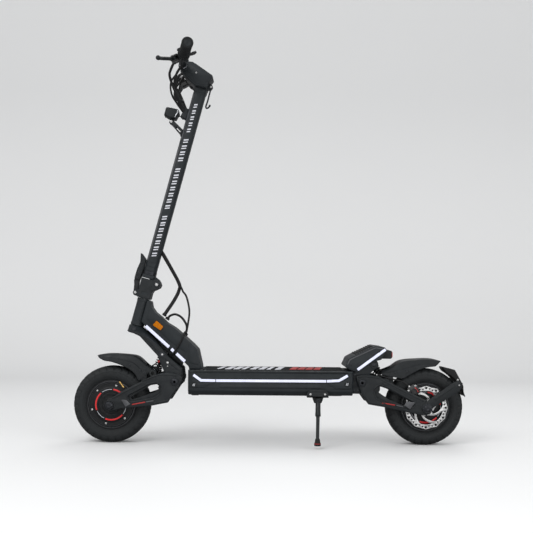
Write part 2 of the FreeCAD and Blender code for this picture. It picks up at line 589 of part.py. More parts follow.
# ====================================================== headlight (stem frame)
LAMP_PIVOT = (-63.9, 534.6)
LAMP_PIN_R = 3
LAMP_ARM = [(-20, 499), (-20, 519), (-59, 541), (-70, 540), (-71, 530), (-60, 526)]
LAMP = [(-88.5, 574.9), (-50.4, 577.3), (-46.9, 569.2), (-52.7, 546), (-71.7, 543.5), (-87, 547)]
lamp_bracket = fuse(box(-24, -20, -14, 14, 498, 520), *pair(prism(LAMP_ARM, -12, -7.2, 3)))
lamp_bracket = fuse(lamp_bracket, pin_y(LAMP_PIVOT, 12, LAMP_PIN_R))
save("headlight_bracket", stem(lamp_bracket))
lamp = fuse(slab(LAMP, 25, 4), pin_y(LAMP_PIVOT, 6.9, 6.5),
            box(LAMP_PIVOT[0] - 6, LAMP_PIVOT[0] + 6, -6.9, 6.9, LAMP_PIVOT[1], 550))
save("headlight_housing", stem(cut(lamp, pin_y(LAMP_PIVOT, 10, LAMP_PIN_R + RUN))))
save("headlight_lens", stem(prism_x(rect(-20, 20, 549, 572), -91.5, -88.5, 5)))

# ========================================================== hoses and cables
# Brake hoses run from the master cylinders in to the stem.
hose_start = BAR_FRAME.multVec(Vec(25, 1.4, 3))
save("brake_hoses",
     *[bent_pipe([Vec(hose_start.x, side * abs(hose_start.y), hose_start.z),
                  Vec(-326, side * 76, 1176), Vec(-283.5, side * 9, 1076)], 45.0, 4.3)
       for side in (-1, 1)])

# Cables behind the stem and hinge, as (x, y, z) points.
STEM_SLEEVE = [(-344.6, 0, 606.5), (-322.1, 0, 568.4), (-300.3, 0, 529.8), (-291.7, 0, 508.5)]
THICK_CABLE = [(-291.9, 3, 502.6), (-296.5, 3, 489), (-314.3, 2, 456.2), (-331, 1, 431),
               (-341.5, 0, 415.5)]
THIN_CABLE = [(-288.2, -8, 503.4), (-268.5, -12, 473), (-259.1, -14, 430), (-262.5, -14, 390),
              (-269.4, -12, 356)]
LOOP_CABLE = [(-332.5, 12, 404.5), (-324, 12, 412), (-306.4, 12, 416.7), (-286.6, 11, 406.8),
              (-271.5, 9, 385.6), (-268.6, 7, 369), (-272.5, 5, 358.5)]
save("stem_cable_sleeve", cable(STEM_SLEEVE, 6.0))
save("neck_cable_loops", cable(THICK_CABLE, 6.0), cable(THIN_CABLE, 3.2), cable(LOOP_CABLE, 3.8))

# ================================================================= swingarms
FRONT_ARM = [(-340.2, 229.2), (-314.4, 230.4), (-288.3, 226.5), (-277, 221.5), (-274.4, 216),
             (-274.6, 206), (-319.9, 135.2), (-370.2, 125.2), (-473.6, 114), (-507, 104),
             (-522, 112), (-524, 132), (-512, 143), (-496.2, 151.5), (-468, 169.9),
             (-369.1, 221.7)]
FRONT_WINDOW = [(-449.7, 153.8), (-380.9, 191.6), (-356.1, 196.6), (-343.3, 185.6),
                (-347.9, 164.2), (-367.2, 151), (-439.4, 137.6)]
REAR_ARM = [(278.0, 225.7), (282.5, 209.2), (298.8, 163.5), (319.7, 134.7), (371.4, 126.2),
            (447.6, 110), (493.6, 101.2), (519.0, 106.0), (522.0, 120), (518, 138),
            (508.5, 144.9), (490.9, 155.6), (379.6, 210.1), (352.4, 225.1), (307.1, 230.8)]
REAR_WINDOW = [(355.2, 194.6), (376.9, 187.7), (470.3, 138.2), (451.4, 119), (384.4, 135.9),
               (346, 156.3), (339.4, 181.7)]


def swingarm(outline, window, pivot, shock_foot, tie, axle):
    """Two windowed plates joined by a bar at the shock's foot and a tie bar."""
    plate = prism(outline, -ARM_OUTER, -ARM_INNER, 5)
    plate = fuse(plate, cyl_y(shock_foot, -ARM_OUTER, -ARM_INNER, 11.5))
    plate = cut(plate, prism(window, -90, 0, 6), cyl_y(axle, -90, 0, AXLE_R))
    arm = fuse(plate, mirror(plate), pin_y(shock_foot, ARM_INNER, 8.0),
               pin_y(tie, ARM_INNER, 9.0))
    return cut(arm, pin_y(pivot, 90, PIVOT_R + RUN))


def axle_with_nuts(x, nut_y):
    shape = pin_y((x, AXLE_Z), nut_y + 10, AXLE_R)
    hexagon = [around_axle(x, 13, 60 * i) for i in range(6)]
    for y0, y1 in ((-nut_y - 8, -nut_y), (nut_y, nut_y + 8)):
        shape = fuse(shape, prism(hexagon, y0, y1))
    return shape


STRUT_T = 3
save("front_swingarm", swingarm(FRONT_ARM, FRONT_WINDOW, FRONT_PIVOT, FRONT_SHOCK_FOOT,
                                (-340, 152), FRONT_AXLE))
save("rear_swingarm", swingarm(REAR_ARM, REAR_WINDOW, REAR_PIVOT, REAR_SHOCK_FOOT,
                               (338, 150), REAR_AXLE))
save("front_axle", axle_with_nuts(-AXLE_X, ARM_OUTER))
save("rear_axle", axle_with_nuts(AXLE_X, ARM_OUTER + STRUT_T))

# ======================================================= fenders and mudflap
FRONT_FENDER = [(-552.4, 283.4), (-515.7, 287.9), (-453.8, 285.2), (-423.2, 278.4),
                (-392, 251.9), (-373.5, 239.8), (-403.9, 210.6), (-418.3, 200.1),
                (-426.5, 218.8), (-445.4, 237), (-474.2, 251.2), (-507.1, 262.2),
                (-527.8, 265.2), (-544.3, 273.2)]
REAR_FENDER = [(556.7, 273.6), (528.6, 279.8), (485.4, 279.5), (431.3, 273.8), (397, 252.9),
               (364.9, 239.7), (366, 227.1), (431.8, 216.4), (453.3, 227.6), (485.7, 245),
               (511.5, 252.9), (537.6, 256.4)]
STRUT = [(500, 140), (511.3, 151.2), (592, 209), (606, 213), (620, 206), (617, 192),
         (609.3, 180), (526, 126), (512, 112), (500, 112)]
MUDFLAP = [(562.3, 254.6), (601.4, 245.3), (613.5, 222.9), (628.5, 194.7), (631, 158.3),
           (617, 171.1), (595, 209.5), (580, 220.4), (571.2, 239.6)]
FLAP_BAR, FLAP_BAR_R = (613, 204), 3.5


def fender(outline, axle, tab_x, notch_x0, notch_x1):
    """Thin arched top with side skirts, a tab to each arm and a notch at the shock."""
    inner = 41.5
    skin = slab(outline, 45, 3)
    hollows = [slab([(x, z - drop) for x, z in outline], inner, 3) for drop in (4.0, 14.0)]
    skin = cut(skin, *hollows, pin_y(axle, inner, 130.5),
               box(notch_x0, notch_x1, -26, 26, 180, 300))
    return fuse(skin, *pair(box(tab_x - 6, tab_x + 6, -ARM_INNER, -inner, 190, 232)))


save("front_fender", fender(FRONT_FENDER, FRONT_AXLE, -400, -398, -300))
save("rear_fender", fender(REAR_FENDER, REAR_AXLE, 392, 300, 396))

# Mudflap behind the rear wheel, carried by two struts from the axle.
strut = prism(STRUT, -ARM_OUTER - STRUT_T, -ARM_OUTER, 4)
strut = cut(strut, cyl_y(REAR_AXLE, -90, 0, AXLE_R))
save("mudflap_struts", fuse(strut, mirror(strut), pin_y(FLAP_BAR, ARM_OUTER, FLAP_BAR_R)))
flap = slab(MUDFLAP, 42, [3, 6, 6, 4, 0, 3, 3, 3, 3])
flap = cut(flap, pin_y(REAR_AXLE, 60, 131), pin_y(FLAP_BAR, 60, FLAP_BAR_R))
save("rear_mudflap", max(flap.Solids, key=lambda solid: solid.Volume))


# ==================================================================== shocks
def save_shock(end_name, top, foot):
    """Body on the upper eye, rod on the lower one, spring sleeve between their flanges."""
    length = math.hypot(foot[0] - top[0], foot[1] - top[1])
    axis_x, axis_z = (foot[0] - top[0]) / length, (foot[1] - top[1]) / length

    def piece(start, end, r):
        """Cylinder on the shock's axis, between two distances from the upper eye."""
        return rod(Vec(top[0] + axis_x * start, 0, top[1] + axis_z * start),
                   Vec(top[0] + axis_x * end, 0, top[1] + axis_z * end), r)

    rod_r, flange_r, eye_half = 5, 16.5, 13
    body = fuse(pin_y(top, eye_half, 9.5), piece(4, 38, 9.0), piece(10, 13, flange_r))
    body = cut(body, piece(12, 40, rod_r + RUN), pin_y(top, 20, PIVOT_R + RUN))
    shaft = fuse(pin_y(foot, eye_half, 13.0), piece(26, length - 5, rod_r),
                 piece(length - 14, length - 11, flange_r))
    shaft = cut(shaft, pin_y(foot, 20, 9.2))
    spring = cut(piece(13.2, length - 14.2, 15.5), piece(13, length - 14, 11.5))
    save(end_name + "_shock_body", body)
    save(end_name + "_shock_rod", shaft)
    save(end_name + "_spring", spring)


save_shock("front", FRONT_SHOCK_TOP, FRONT_SHOCK_FOOT)
save_shock("rear", REAR_SHOCK_TOP, REAR_SHOCK_FOOT)

# ==================================================================== wheels
RIM_R = 76.0
ROTOR_R, ROTOR_Y, ROTOR_T = 70.0, 50.0, 2.0
# Profiles of (y, radius) points.
TYRE = [(-20, RIM_R), (-30, RIM_R), (-30, 81), (-36, 88), (-38, 98), (-36.8, 108), (-33, 115),
        (-26, 120.5), (-16, TYRE_R), (16, TYRE_R), (26, 120.5), (33, 115), (36.8, 108),
        (38, 98), (36, 88), (30, 81), (30, RIM_R), (20, RIM_R), (24, 84), (30, 98), (26, 110),
        (-26, 110), (-30, 98), (-24, 84)]
HUB = [(-44, AXLE_R + RUN), (-44, 17), (-38, 20), (-38, 42), (-36, 44), (-36, 72), (-33, 74),
       (-33, 80.5), (-30, 80.5), (-30, RIM_R), (30, RIM_R), (30, 80.5), (33, 80.5), (33, 74),
       (36, 72), (36, 44), (38, 42), (38, 24), (49, 22), (49, 18), (51, 18),
       (51, AXLE_R + RUN)]


def hub_motor(x, side):
    """Hub with its rotor boss on the given side and six bolt heads on each face."""
    profile = HUB if side > 0 else [(-y, r) for y, r in HUB][::-1]
    bolts = []
    for i in range(6):
        bolts += pair(cyl_y(around_axle(x, 63, 15 + 60 * i), -38.4, -36, 3.6))
    return fuse(revolve_y(profile, x), *bolts)


def brake_disc(x, side):
    """Disc with rim holes, a scalloped edge and six slanted windows."""
    y0 = side * ROTOR_Y - ROTOR_T / 2
    y1 = y0 + ROTOR_T
    disc = cyl_y((x, AXLE_Z), y0, y1, ROTOR_R)
    disc = cut(disc, cyl_y((x, AXLE_Z), y0 - 1, y1 + 1, 18))
    tools = []
    for i in range(12):
        tools.append(cyl_y(around_axle(x, 62.5, 30 * i), y0 - 1, y1 + 1, 3))
        tools.append(cyl_y(around_axle(x, 86, 30 * i + 15), y0 - 1, y1 + 1, 18))
    for i in range(6):
        window = [around_axle(x, r, 60 * i + turn)
                  for r, turn in ((29, -16), (29, 14), (54, 36), (54, 8))]
        tools.append(prism(window, y0 - 1, y1 + 1, 3))
    return cut(disc, *tools)


def caliper(x, side, angle):
    """Slotted block over the disc's edge, at an angle in degrees from +X towards +Z."""
    block = prism([(50, -17), (80, -20), (88, -12), (88, 12), (80, 20), (50, 17)],
                  43.2, ARM_INNER, 4)
    block = cut(block, box(0, 73, ROTOR_Y - 1.8, ROTOR_Y + 1.8, -60, 60))
    block.rotate(Vec(0, 0, 0), Vec(0, 1, 0), -angle)
    block.translate(Vec(x, 0, AXLE_Z))
    return mirror(block) if side < 0 else block


# Brake side: +1 is the right, -1 the left.
for name, x, side, caliper_angle in (("front", -AXLE_X, 1, 53.0), ("rear", AXLE_X, -1, 127.0)):
    save(name + "_tyre", revolve_y(TYRE, x))
    save(name + "_hub_motor", hub_motor(x, side))
    save(name + "_brake_disc", brake_disc(x, side))
    save(name + "_caliper", caliper(x, side, caliper_angle))
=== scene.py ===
# Electric kick scooter, dressed over its CAD parts.  Lengths are millimetres in the CAD
# frame: +Z up, front towards -X, left side towards -Y, ground near z = 0.  Piece.add
# turns them into metres.  A "side" is -1 for left and +1 for right.
import bpy, bmesh, json
from math import acos, atan2, cos, degrees, hypot, pi, radians as rad, sin, sqrt, tan
from mathutils import Vector, Matrix
from mathutils.geometry import tessellate_polygon

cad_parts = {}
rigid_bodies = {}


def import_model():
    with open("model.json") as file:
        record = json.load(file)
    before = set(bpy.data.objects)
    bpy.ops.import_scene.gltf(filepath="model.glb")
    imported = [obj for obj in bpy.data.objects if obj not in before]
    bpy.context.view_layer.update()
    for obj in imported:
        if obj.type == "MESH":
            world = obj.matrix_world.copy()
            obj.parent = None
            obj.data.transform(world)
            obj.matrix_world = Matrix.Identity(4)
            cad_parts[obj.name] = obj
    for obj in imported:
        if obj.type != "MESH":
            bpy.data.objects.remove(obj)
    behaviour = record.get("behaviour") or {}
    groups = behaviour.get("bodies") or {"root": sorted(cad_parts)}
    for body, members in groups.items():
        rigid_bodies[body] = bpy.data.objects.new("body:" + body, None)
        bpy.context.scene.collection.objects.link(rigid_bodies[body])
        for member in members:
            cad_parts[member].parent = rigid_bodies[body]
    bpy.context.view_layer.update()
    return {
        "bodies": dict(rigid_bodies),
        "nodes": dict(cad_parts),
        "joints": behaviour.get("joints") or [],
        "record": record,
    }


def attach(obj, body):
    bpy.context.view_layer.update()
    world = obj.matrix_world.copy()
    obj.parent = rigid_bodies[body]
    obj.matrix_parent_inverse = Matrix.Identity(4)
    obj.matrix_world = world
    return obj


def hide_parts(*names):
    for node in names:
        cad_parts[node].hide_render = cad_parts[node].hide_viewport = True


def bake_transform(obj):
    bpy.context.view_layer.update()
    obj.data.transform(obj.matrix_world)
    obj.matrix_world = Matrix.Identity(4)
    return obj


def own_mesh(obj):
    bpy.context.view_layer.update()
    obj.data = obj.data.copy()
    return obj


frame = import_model()
MM = 0.001
SIDES = (-1, 1)

# ------------------------------------------------------------------ places
# Stem frame: origin on the hinge, leaning back 15 degrees
STEM_X, STEM_Z = -400.3, 511.6
STEM_COS, STEM_SIN = cos(rad(15.0)), sin(rad(15.0))
# (x, z) places in the stem frame
STEER_X = 5.0
FOLD_PIN = (33.6, 10.3)
LATCH_PIN = (-28.0, -32.6)
HOOK_PIN = (30.2, 678.4)
LIGHT_PIN = (-63.9, 534.6)
# (x, z) places in the CAD frame
FRONT_AXLE, REAR_AXLE = (-507.0, 124.0), (507.0, 124.0)
FRONT_PIVOT, REAR_PIVOT = (-299.6, 201.7), (299.5, 203.4)
FRONT_SHOCK = ((-341.0, 288.0), (-369.0, 228.0))      # upper eye, lower eye
REAR_SHOCK = ((338.0, 262.0), (374.5, 206.4))
STAND_PIVOT = (157.5, 148.0)
# |y| of the outer faces
DECK_Y = 98.0
FOOTREST_Y = 78.0
CASTING_Y = 54.9
FORK_Y = 56.2
ARM_IN, ARM_OUT = 57.0, 70.0
STRUT_OUT = ARM_OUT + 3.0
GUARD_Y = 45.0
# Handlebar: the left kink and end, and the frame carried by its swept part
BAR_KINK = Vector((-283.0, -90.0, 1221.0))
BAR_END = Vector((-246.0, -300.0, 1213.5))
BAR_X, BAR_Z = -283.0, 1221.0
BAR_OUT = (BAR_END - BAR_KINK).normalized()
BAR_FORWARD = Vector((-cos(rad(22.0)), 0, -sin(rad(22.0))))
BAR_FORWARD = (BAR_FORWARD - BAR_OUT * BAR_FORWARD.dot(BAR_OUT)).normalized()
BAR_UP = BAR_FORWARD.cross(BAR_OUT)
BAR_LENGTH = (BAR_END - BAR_KINK).length
BAR_BORE = 11.6


# ------------------------------------------------------------------ local frames
# A frame is a function from its own coordinates (u, v, w) to a point (x, y, z).
# Outlines lie in (u, v); w is the direction of thickness or of the turning axis.
def stem_point(x, y, z):
    return (STEM_X + x * STEM_COS + z * STEM_SIN, y, STEM_Z - x * STEM_SIN + z * STEM_COS)


def bar_point(forward, out, up, side=-1):
    point = BAR_KINK + BAR_FORWARD * forward + BAR_OUT * out + BAR_UP * up
    return (point.x, point.y if side < 0 else -point.y, point.z)


def flank(side=1, y=0.0, x=0.0, z=0.0):
    """Seen from the side: w is outward from the plane |y|."""
    return lambda u, v, w: (x + u, side * (y + w), z + v)


def plan(u, v, w):
    """Seen from above."""
    return (u, v, w)


def end_view(u, v, w):
    """Across and up, with w towards the rear."""
    return (w, u, v)


def stem_side(side=1):
    """Side view in the stem frame, w outward."""
    return lambda u, v, w: stem_point(u, side * w, v)


def stem_front(u, v, w):
    """Across and up the stem, with w along the stem frame's x."""
    return stem_point(w, u, v)


def stem_flank(side, y, x, z):
    """Upright side frame at a place (x, z) of the stem frame."""
    px, _, pz = stem_point(x, 0, z)
    return flank(side, y, px, pz)


def around_bar(side, forward=0, up=0, out=0):
    """Round parts: w runs outward along the bar."""
    return lambda u, v, w: bar_point(forward + u, out + w, up + v, side)


def on_bar(side, forward=0, out=0, up=0):
    """Flat parts: u forward, v outward, w up."""
    return lambda u, v, w: bar_point(forward + u, out + v, up + w, side)


def neck_half(x):
    """Half width of the neck casting at x."""
    return 22.8 + (x + 460) * (59.6 - 22.8) / 255.0


def neck_face(side):
    """On the neck's tapering side face."""
    return lambda u, v, w: (u, side * (neck_half(u) + w), v)


def axis(point, direction):
    """Frame with w along direction from point."""
    point, direction = Vector(point), Vector(direction).normalized()
    helper = Vector((0, 0, 1)) if abs(direction.z) < 0.9 else Vector((1, 0, 0))
    across = helper.cross(direction).normalized()
    other = direction.cross(across)
    return lambda u, v, w: tuple(point + across * u + other * v + direction * w)


def shifted(base, du=0, dv=0, dw=0):
    return lambda u, v, w: base(du + u, dv + v, dw + w)


# ------------------------------------------------------------------ outlines
def rect(x0, y0, x1, y1):
    return [(x0, y0), (x1, y0), (x1, y1), (x0, y1)]


def polar(radius, angle):
    return (radius * cos(angle), radius * sin(angle))


def fillet(points, radius, steps=4):
    """Polygon with rounded corners; radius is one value or one per corner."""
    out, count = [], len(points)
    radii = radius if isinstance(radius, (list, tuple)) else [radius] * count
    for i in range(count):
        corner = Vector(points[i])
        back, ahead = Vector(points[i - 1]) - corner, Vector(points[(i + 1) % count]) - corner
        len_back, len_ahead = back.length, ahead.length
        back /= len_back
        ahead /= len_ahead
        angle = acos(max(-1.0, min(1.0, back.dot(ahead))))
        if radii[i] < 0.05 or angle > rad(178.0):
            out.append((corner.x, corner.y))
            continue
        cut = min(radii[i] / tan(angle / 2), 0.47 * len_back, 0.47 * len_ahead)
        fit = cut * tan(angle / 2)
        centre = corner + (back + ahead).normalized() * (fit / sin(angle / 2))
        start, end = corner + back * cut, corner + ahead * cut
        a0 = atan2(start.y - centre.y, start.x - centre.x)
        a1 = atan2(end.y - centre.y, end.x - centre.x)
        turn = (a1 - a0 + pi) % (2 * pi) - pi
        pieces = max(1, min(steps, int(round(abs(turn) / rad(14)))))
        for j in range(pieces + 1):
            a = a0 + turn * j / pieces
            out.append((centre.x + fit * cos(a), centre.y + fit * sin(a)))
    return out


def inset(points, distance):
    """Closed polygon moved inward by distance (outward when negative)."""
    count = len(points)
    area = 0.5 * sum(points[i - 1][0] * points[i][1] - points[i][0] * points[i - 1][1]
                     for i in range(count))
    sign = 1.0 if area > 0 else -1.0
    out = []
    for i in range(count):
        (x0, y0), (x1, y1), (x2, y2) = points[i - 1], points[i], points[(i + 1) % count]
        ax, ay, bx, by = x1 - x0, y1 - y0, x2 - x1, y2 - y1
        len_a, len_b = hypot(ax, ay) or 1e-9, hypot(bx, by) or 1e-9
        normal_a = (-ay / len_a * sign, ax / len_a * sign)
        normal_b = (-by / len_b * sign, bx / len_b * sign)
        mx, my = normal_a[0] + normal_b[0], normal_a[1] + normal_b[1]
        length = hypot(mx, my) or 1e-9
        mx /= length
        my /= length
        mitre = max(0.45, mx * normal_a[0] + my * normal_a[1])
        out.append((x1 + mx * distance / mitre, y1 + my * distance / mitre))
    return out


def circle(x, y, radius, count=32):
    return [(x + radius * cos(2 * pi * i / count), y + radius * sin(2 * pi * i / count))
            for i in range(count)]


def arc_band(r0, r1, a0, a1, count=20):
    """Ring sector; angles in degrees, clockwise from up."""
    def place(radius, angle):
        return (radius * sin(rad(angle)), radius * cos(rad(angle)))
    return ([place(r1, a0 + (a1 - a0) * i / count) for i in range(count + 1)]
            + [place(r0, a1 - (a1 - a0) * i / count) for i in range(count + 1)])


def band(line, width):
    """Strip along an open polyline, as a polygon."""
    count, left, right = len(line), [], []
    for i in range(count):
        before, here, after = line[max(i - 1, 0)], line[i], line[min(i + 1, count - 1)]
        d1 = Vector((here[0] - before[0], here[1] - before[1]))
        d2 = Vector((after[0] - here[0], after[1] - here[1]))
        if d1.length < 1e-9:
            d1 = d2
        if d2.length < 1e-9:
            d2 = d1
        d1.normalize()
        d2.normalize()
        mean = (d1 + d2).normalized()
        mitre = 1.0 / max(0.5, mean.dot(d1))
        nx, ny = -mean.y * width / 2 * mitre, mean.x * width / 2 * mitre
        left.append((here[0] + nx, here[1] + ny))
        right.append((here[0] - nx, here[1] - ny))
    return left + right[::-1]


def strip(line, width, radius):
    return fillet(band(line, width), radius)


def dense(points, step):
    """Polygon with its edges divided to about step."""
    out = []
    for i in range(len(points)):
        a, b = points[i], points[(i + 1) % len(points)]
        count = max(1, int(hypot(b[0] - a[0], b[1] - a[1]) / step))
        out += [(a[0] + (b[0] - a[0]) * j / count, a[1] + (b[1] - a[1]) * j / count)
                for j in range(count)]
    return out


def spline(points, count=8):
    """Smooth curve through 3-D points."""
    knots = [Vector(q) for q in points]
    knots = [knots[0] * 2 - knots[1]] + knots + [knots[-1] * 2 - knots[-2]]
    out = []
    for i in range(1, len(knots) - 2):
        a, b, c, d = knots[i - 1:i + 3]
        for j in range(count):
            t = j / count
            out.append(0.5 * ((2 * b) + (c - a) * t + (2 * a - 5 * b + 4 * c - d) * t * t
                              + (3 * b - a - 3 * c + d) * t ** 3))
    out.append(knots[-2])
    return out


# ------------------------------------------------------------------ pieces
class Piece:
    """Gathers closed shapes, then becomes one mesh object."""

    def __init__(self, name):
        self.name, self.verts, self.faces = name, [], []

    def add(self, verts, faces):
        """Adds one closed shape; points that fall together are joined."""
        known, index, base = {}, [], len(self.verts)
        for x, y, z in verts:
            key = (round(x * 2000), round(y * 2000), round(z * 2000))
            if key not in known:
                known[key] = base + len(known)
                self.verts.append((x * MM, y * MM, z * MM))
            index.append(known[key])
        for face in faces:
            loop = []
            for i in face:
                if not loop or loop[-1] != index[i]:
                    loop.append(index[i])
            if len(loop) > 1 and loop[0] == loop[-1]:
                loop.pop()
            if len(loop) > 2 and len(set(loop)) == len(loop):
                self.faces.append(loop)

    def loft(self, rings, loop=False):
        """Skin over rings; the ends are capped unless the rings close on themselves."""
        count, rows = len(rings[0]), len(rings)
        verts = [q for ring in rings for q in ring]
        faces = []
        for j in range(rows if loop else rows - 1):
            a, b = j * count, ((j + 1) % rows) * count
            for i in range(count):
                k = (i + 1) % count
                faces.append((a + i, a + k, b + k, b + i))
        if not loop:
            for base in (0, (rows - 1) * count):
                ring = [Vector(verts[base + i]) for i in range(count)]
                if max((q - ring[0]).length for q in ring) > 1e-3:
                    faces += [tuple(base + q for q in t) for t in tessellate_polygon([ring])]
        self.add(verts, faces)

    def slab(self, outline, low, high, frame, rim=1.0, holes=(), steps=3):
        """Outline from w = low to high, with rounded rims; holes go through."""
        rim = min(rim, (high - low) * 0.499)
        levels = []
        for k in range(steps + 1):
            a = pi / 2 * k / steps
            levels.append((rim * (1 - sin(a)), low + rim * (1 - cos(a))))
        levels += [(d, high - (w - low)) for d, w in levels[::-1]]
        verts, faces, polygons, bottom, top = [], [], [], [], []
        for number, loop in enumerate([outline, *holes]):
            sign = 1 if number == 0 else -1
            start, count = len(verts), len(loop)
            for d, w in levels:
                verts += [frame(x, y, w) for x, y in (inset(loop, sign * d) if d else loop)]
            for j in range(len(levels) - 1):
                a, b = start + j * count, start + (j + 1) * count
                for i in range(count):
                    k = (i + 1) % count
                    faces.append((a + i, a + k, b + k, b + i))
            polygons.append([Vector((x, y, 0)) for x, y in inset(loop, sign * rim)])
            bottom += range(start, start + count)
            top += range(len(verts) - count, len(verts))
        triangles = tessellate_polygon(polygons)
        for ids in (bottom, top):
            faces += [tuple(ids[i] for i in t) for t in triangles]
        self.add(verts, faces)

    def lathe(self, profile, frame, count=48, loop=False):
        """Profile of (w, radius) turned about the w axis."""
        self.loft([[frame(r * cos(2 * pi * i / count), r * sin(2 * pi * i / count), w)
                    for i in range(count)] for w, r in profile], loop)

    def rod(self, half, radius, frame, count=28):
        self.lathe([(-half, radius), (half, radius)], frame, count)

    def tube(self, points, radius, count=12, sub=8, swell=None):
        """Round tube; swell(share of length, index) scales the radius."""
        centres = spline(points, sub) if sub else [Vector(q) for q in points]
        rings, previous = [], None
        last = len(centres) - 1
        for i, centre in enumerate(centres):
            ahead = (centres[min(i + 1, last)] - centres[max(i - 1, 0)]).normalized()
            if previous is None:
                helper = Vector((0, 0, 1)) if abs(ahead.z) < 0.9 else Vector((1, 0, 0))
                across = helper.cross(ahead).normalized()
            else:
                across = (previous - ahead * previous.dot(ahead)).normalized()
            previous = across
            other = ahead.cross(across)
            r = radius if swell is None else radius * swell(i / last, i)
            rings.append([tuple(centre + across * (r * cos(2 * pi * k / count))
                                + other * (r * sin(2 * pi * k / count)))
                          for k in range(count)])
        self.loft(rings)

    def ball(self, frame, radius, count=20, rows=10):
        self.lathe([(-radius * cos(pi * i / rows), radius * sin(pi * i / rows))
                    for i in range(rows + 1)], frame, count)

    def bolt(self, frame, radius, height):
        """Cap screw with a hex socket, its head standing above the surface."""
        count = 24

        def ring(w, r):
            return [frame(r * cos(2 * pi * i / count), r * sin(2 * pi * i / count), w)
                    for i in range(count)]

        def hex_ring(w, r):
            out = []
            for i in range(count):
                a = 2 * pi * i / count
                reach = r * cos(pi / 6) / cos((a % (pi / 3)) - pi / 6)
                out.append(frame(reach * cos(a), reach * sin(a), w))
            return out
        self.loft([ring(-0.8, radius), ring(height * 0.7, radius),
                   ring(height * 0.92, radius * 0.94), ring(height, radius * 0.82),
                   hex_ring(height, radius * 0.52), hex_ring(height * 0.25, radius * 0.5)])

    def done(self, body, material, slot, *cad, sharp=34.0):
        mesh = bpy.data.meshes.new(self.name)
        mesh.from_pydata(self.verts, [], self.faces)
        bm = bmesh.new()
        bm.from_mesh(mesh)
        bmesh.ops.recalc_face_normals(bm, faces=bm.faces[:])
        bm.to_mesh(mesh)
        bm.free()
        mesh.polygons.foreach_set("use_smooth", [True] * len(mesh.polygons))
        mesh.set_sharp_from_angle(angle=rad(sharp))
        if material:
            mesh.materials.append(material)
        ob = bpy.data.objects.new(self.name, mesh)
        bpy.context.scene.collection.objects.link(ob)
        if body:
            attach(ob, body)
        if cad:
            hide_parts(*cad)
        return ob


def carve(ob, outline, low, high):
    """Cuts a block, given by its side outline and y range, out of an object."""
    tool = Piece("tool")
    tool.slab(outline, low, high, flank(), rim=0.001, steps=1)
    cutter = tool.done(None, None, None)
    cut = ob.modifiers.new("cut", "BOOLEAN")
    cut.operation = "DIFFERENCE"
    cut.solver = "EXACT"
    cut.object = cutter
    graph = bpy.context.evaluated_depsgraph_get()
    mesh = bpy.data.meshes.new_from_object(ob.evaluated_get(graph))
    old = ob.data
    ob.modifiers.clear()
    ob.data = mesh
    mesh.name = ob.name
    bpy.data.meshes.remove(old)
    cutter_mesh = cutter.data
    bpy.data.objects.remove(cutter)
    bpy.data.meshes.remove(cutter_mesh)
    mesh.set_sharp_from_angle(angle=rad(34.0))


# ------------------------------------------------------------------ materials
def tint(color, factor, lift=0.0):
    return tuple(min(1.0, c * factor + lift) for c in color)


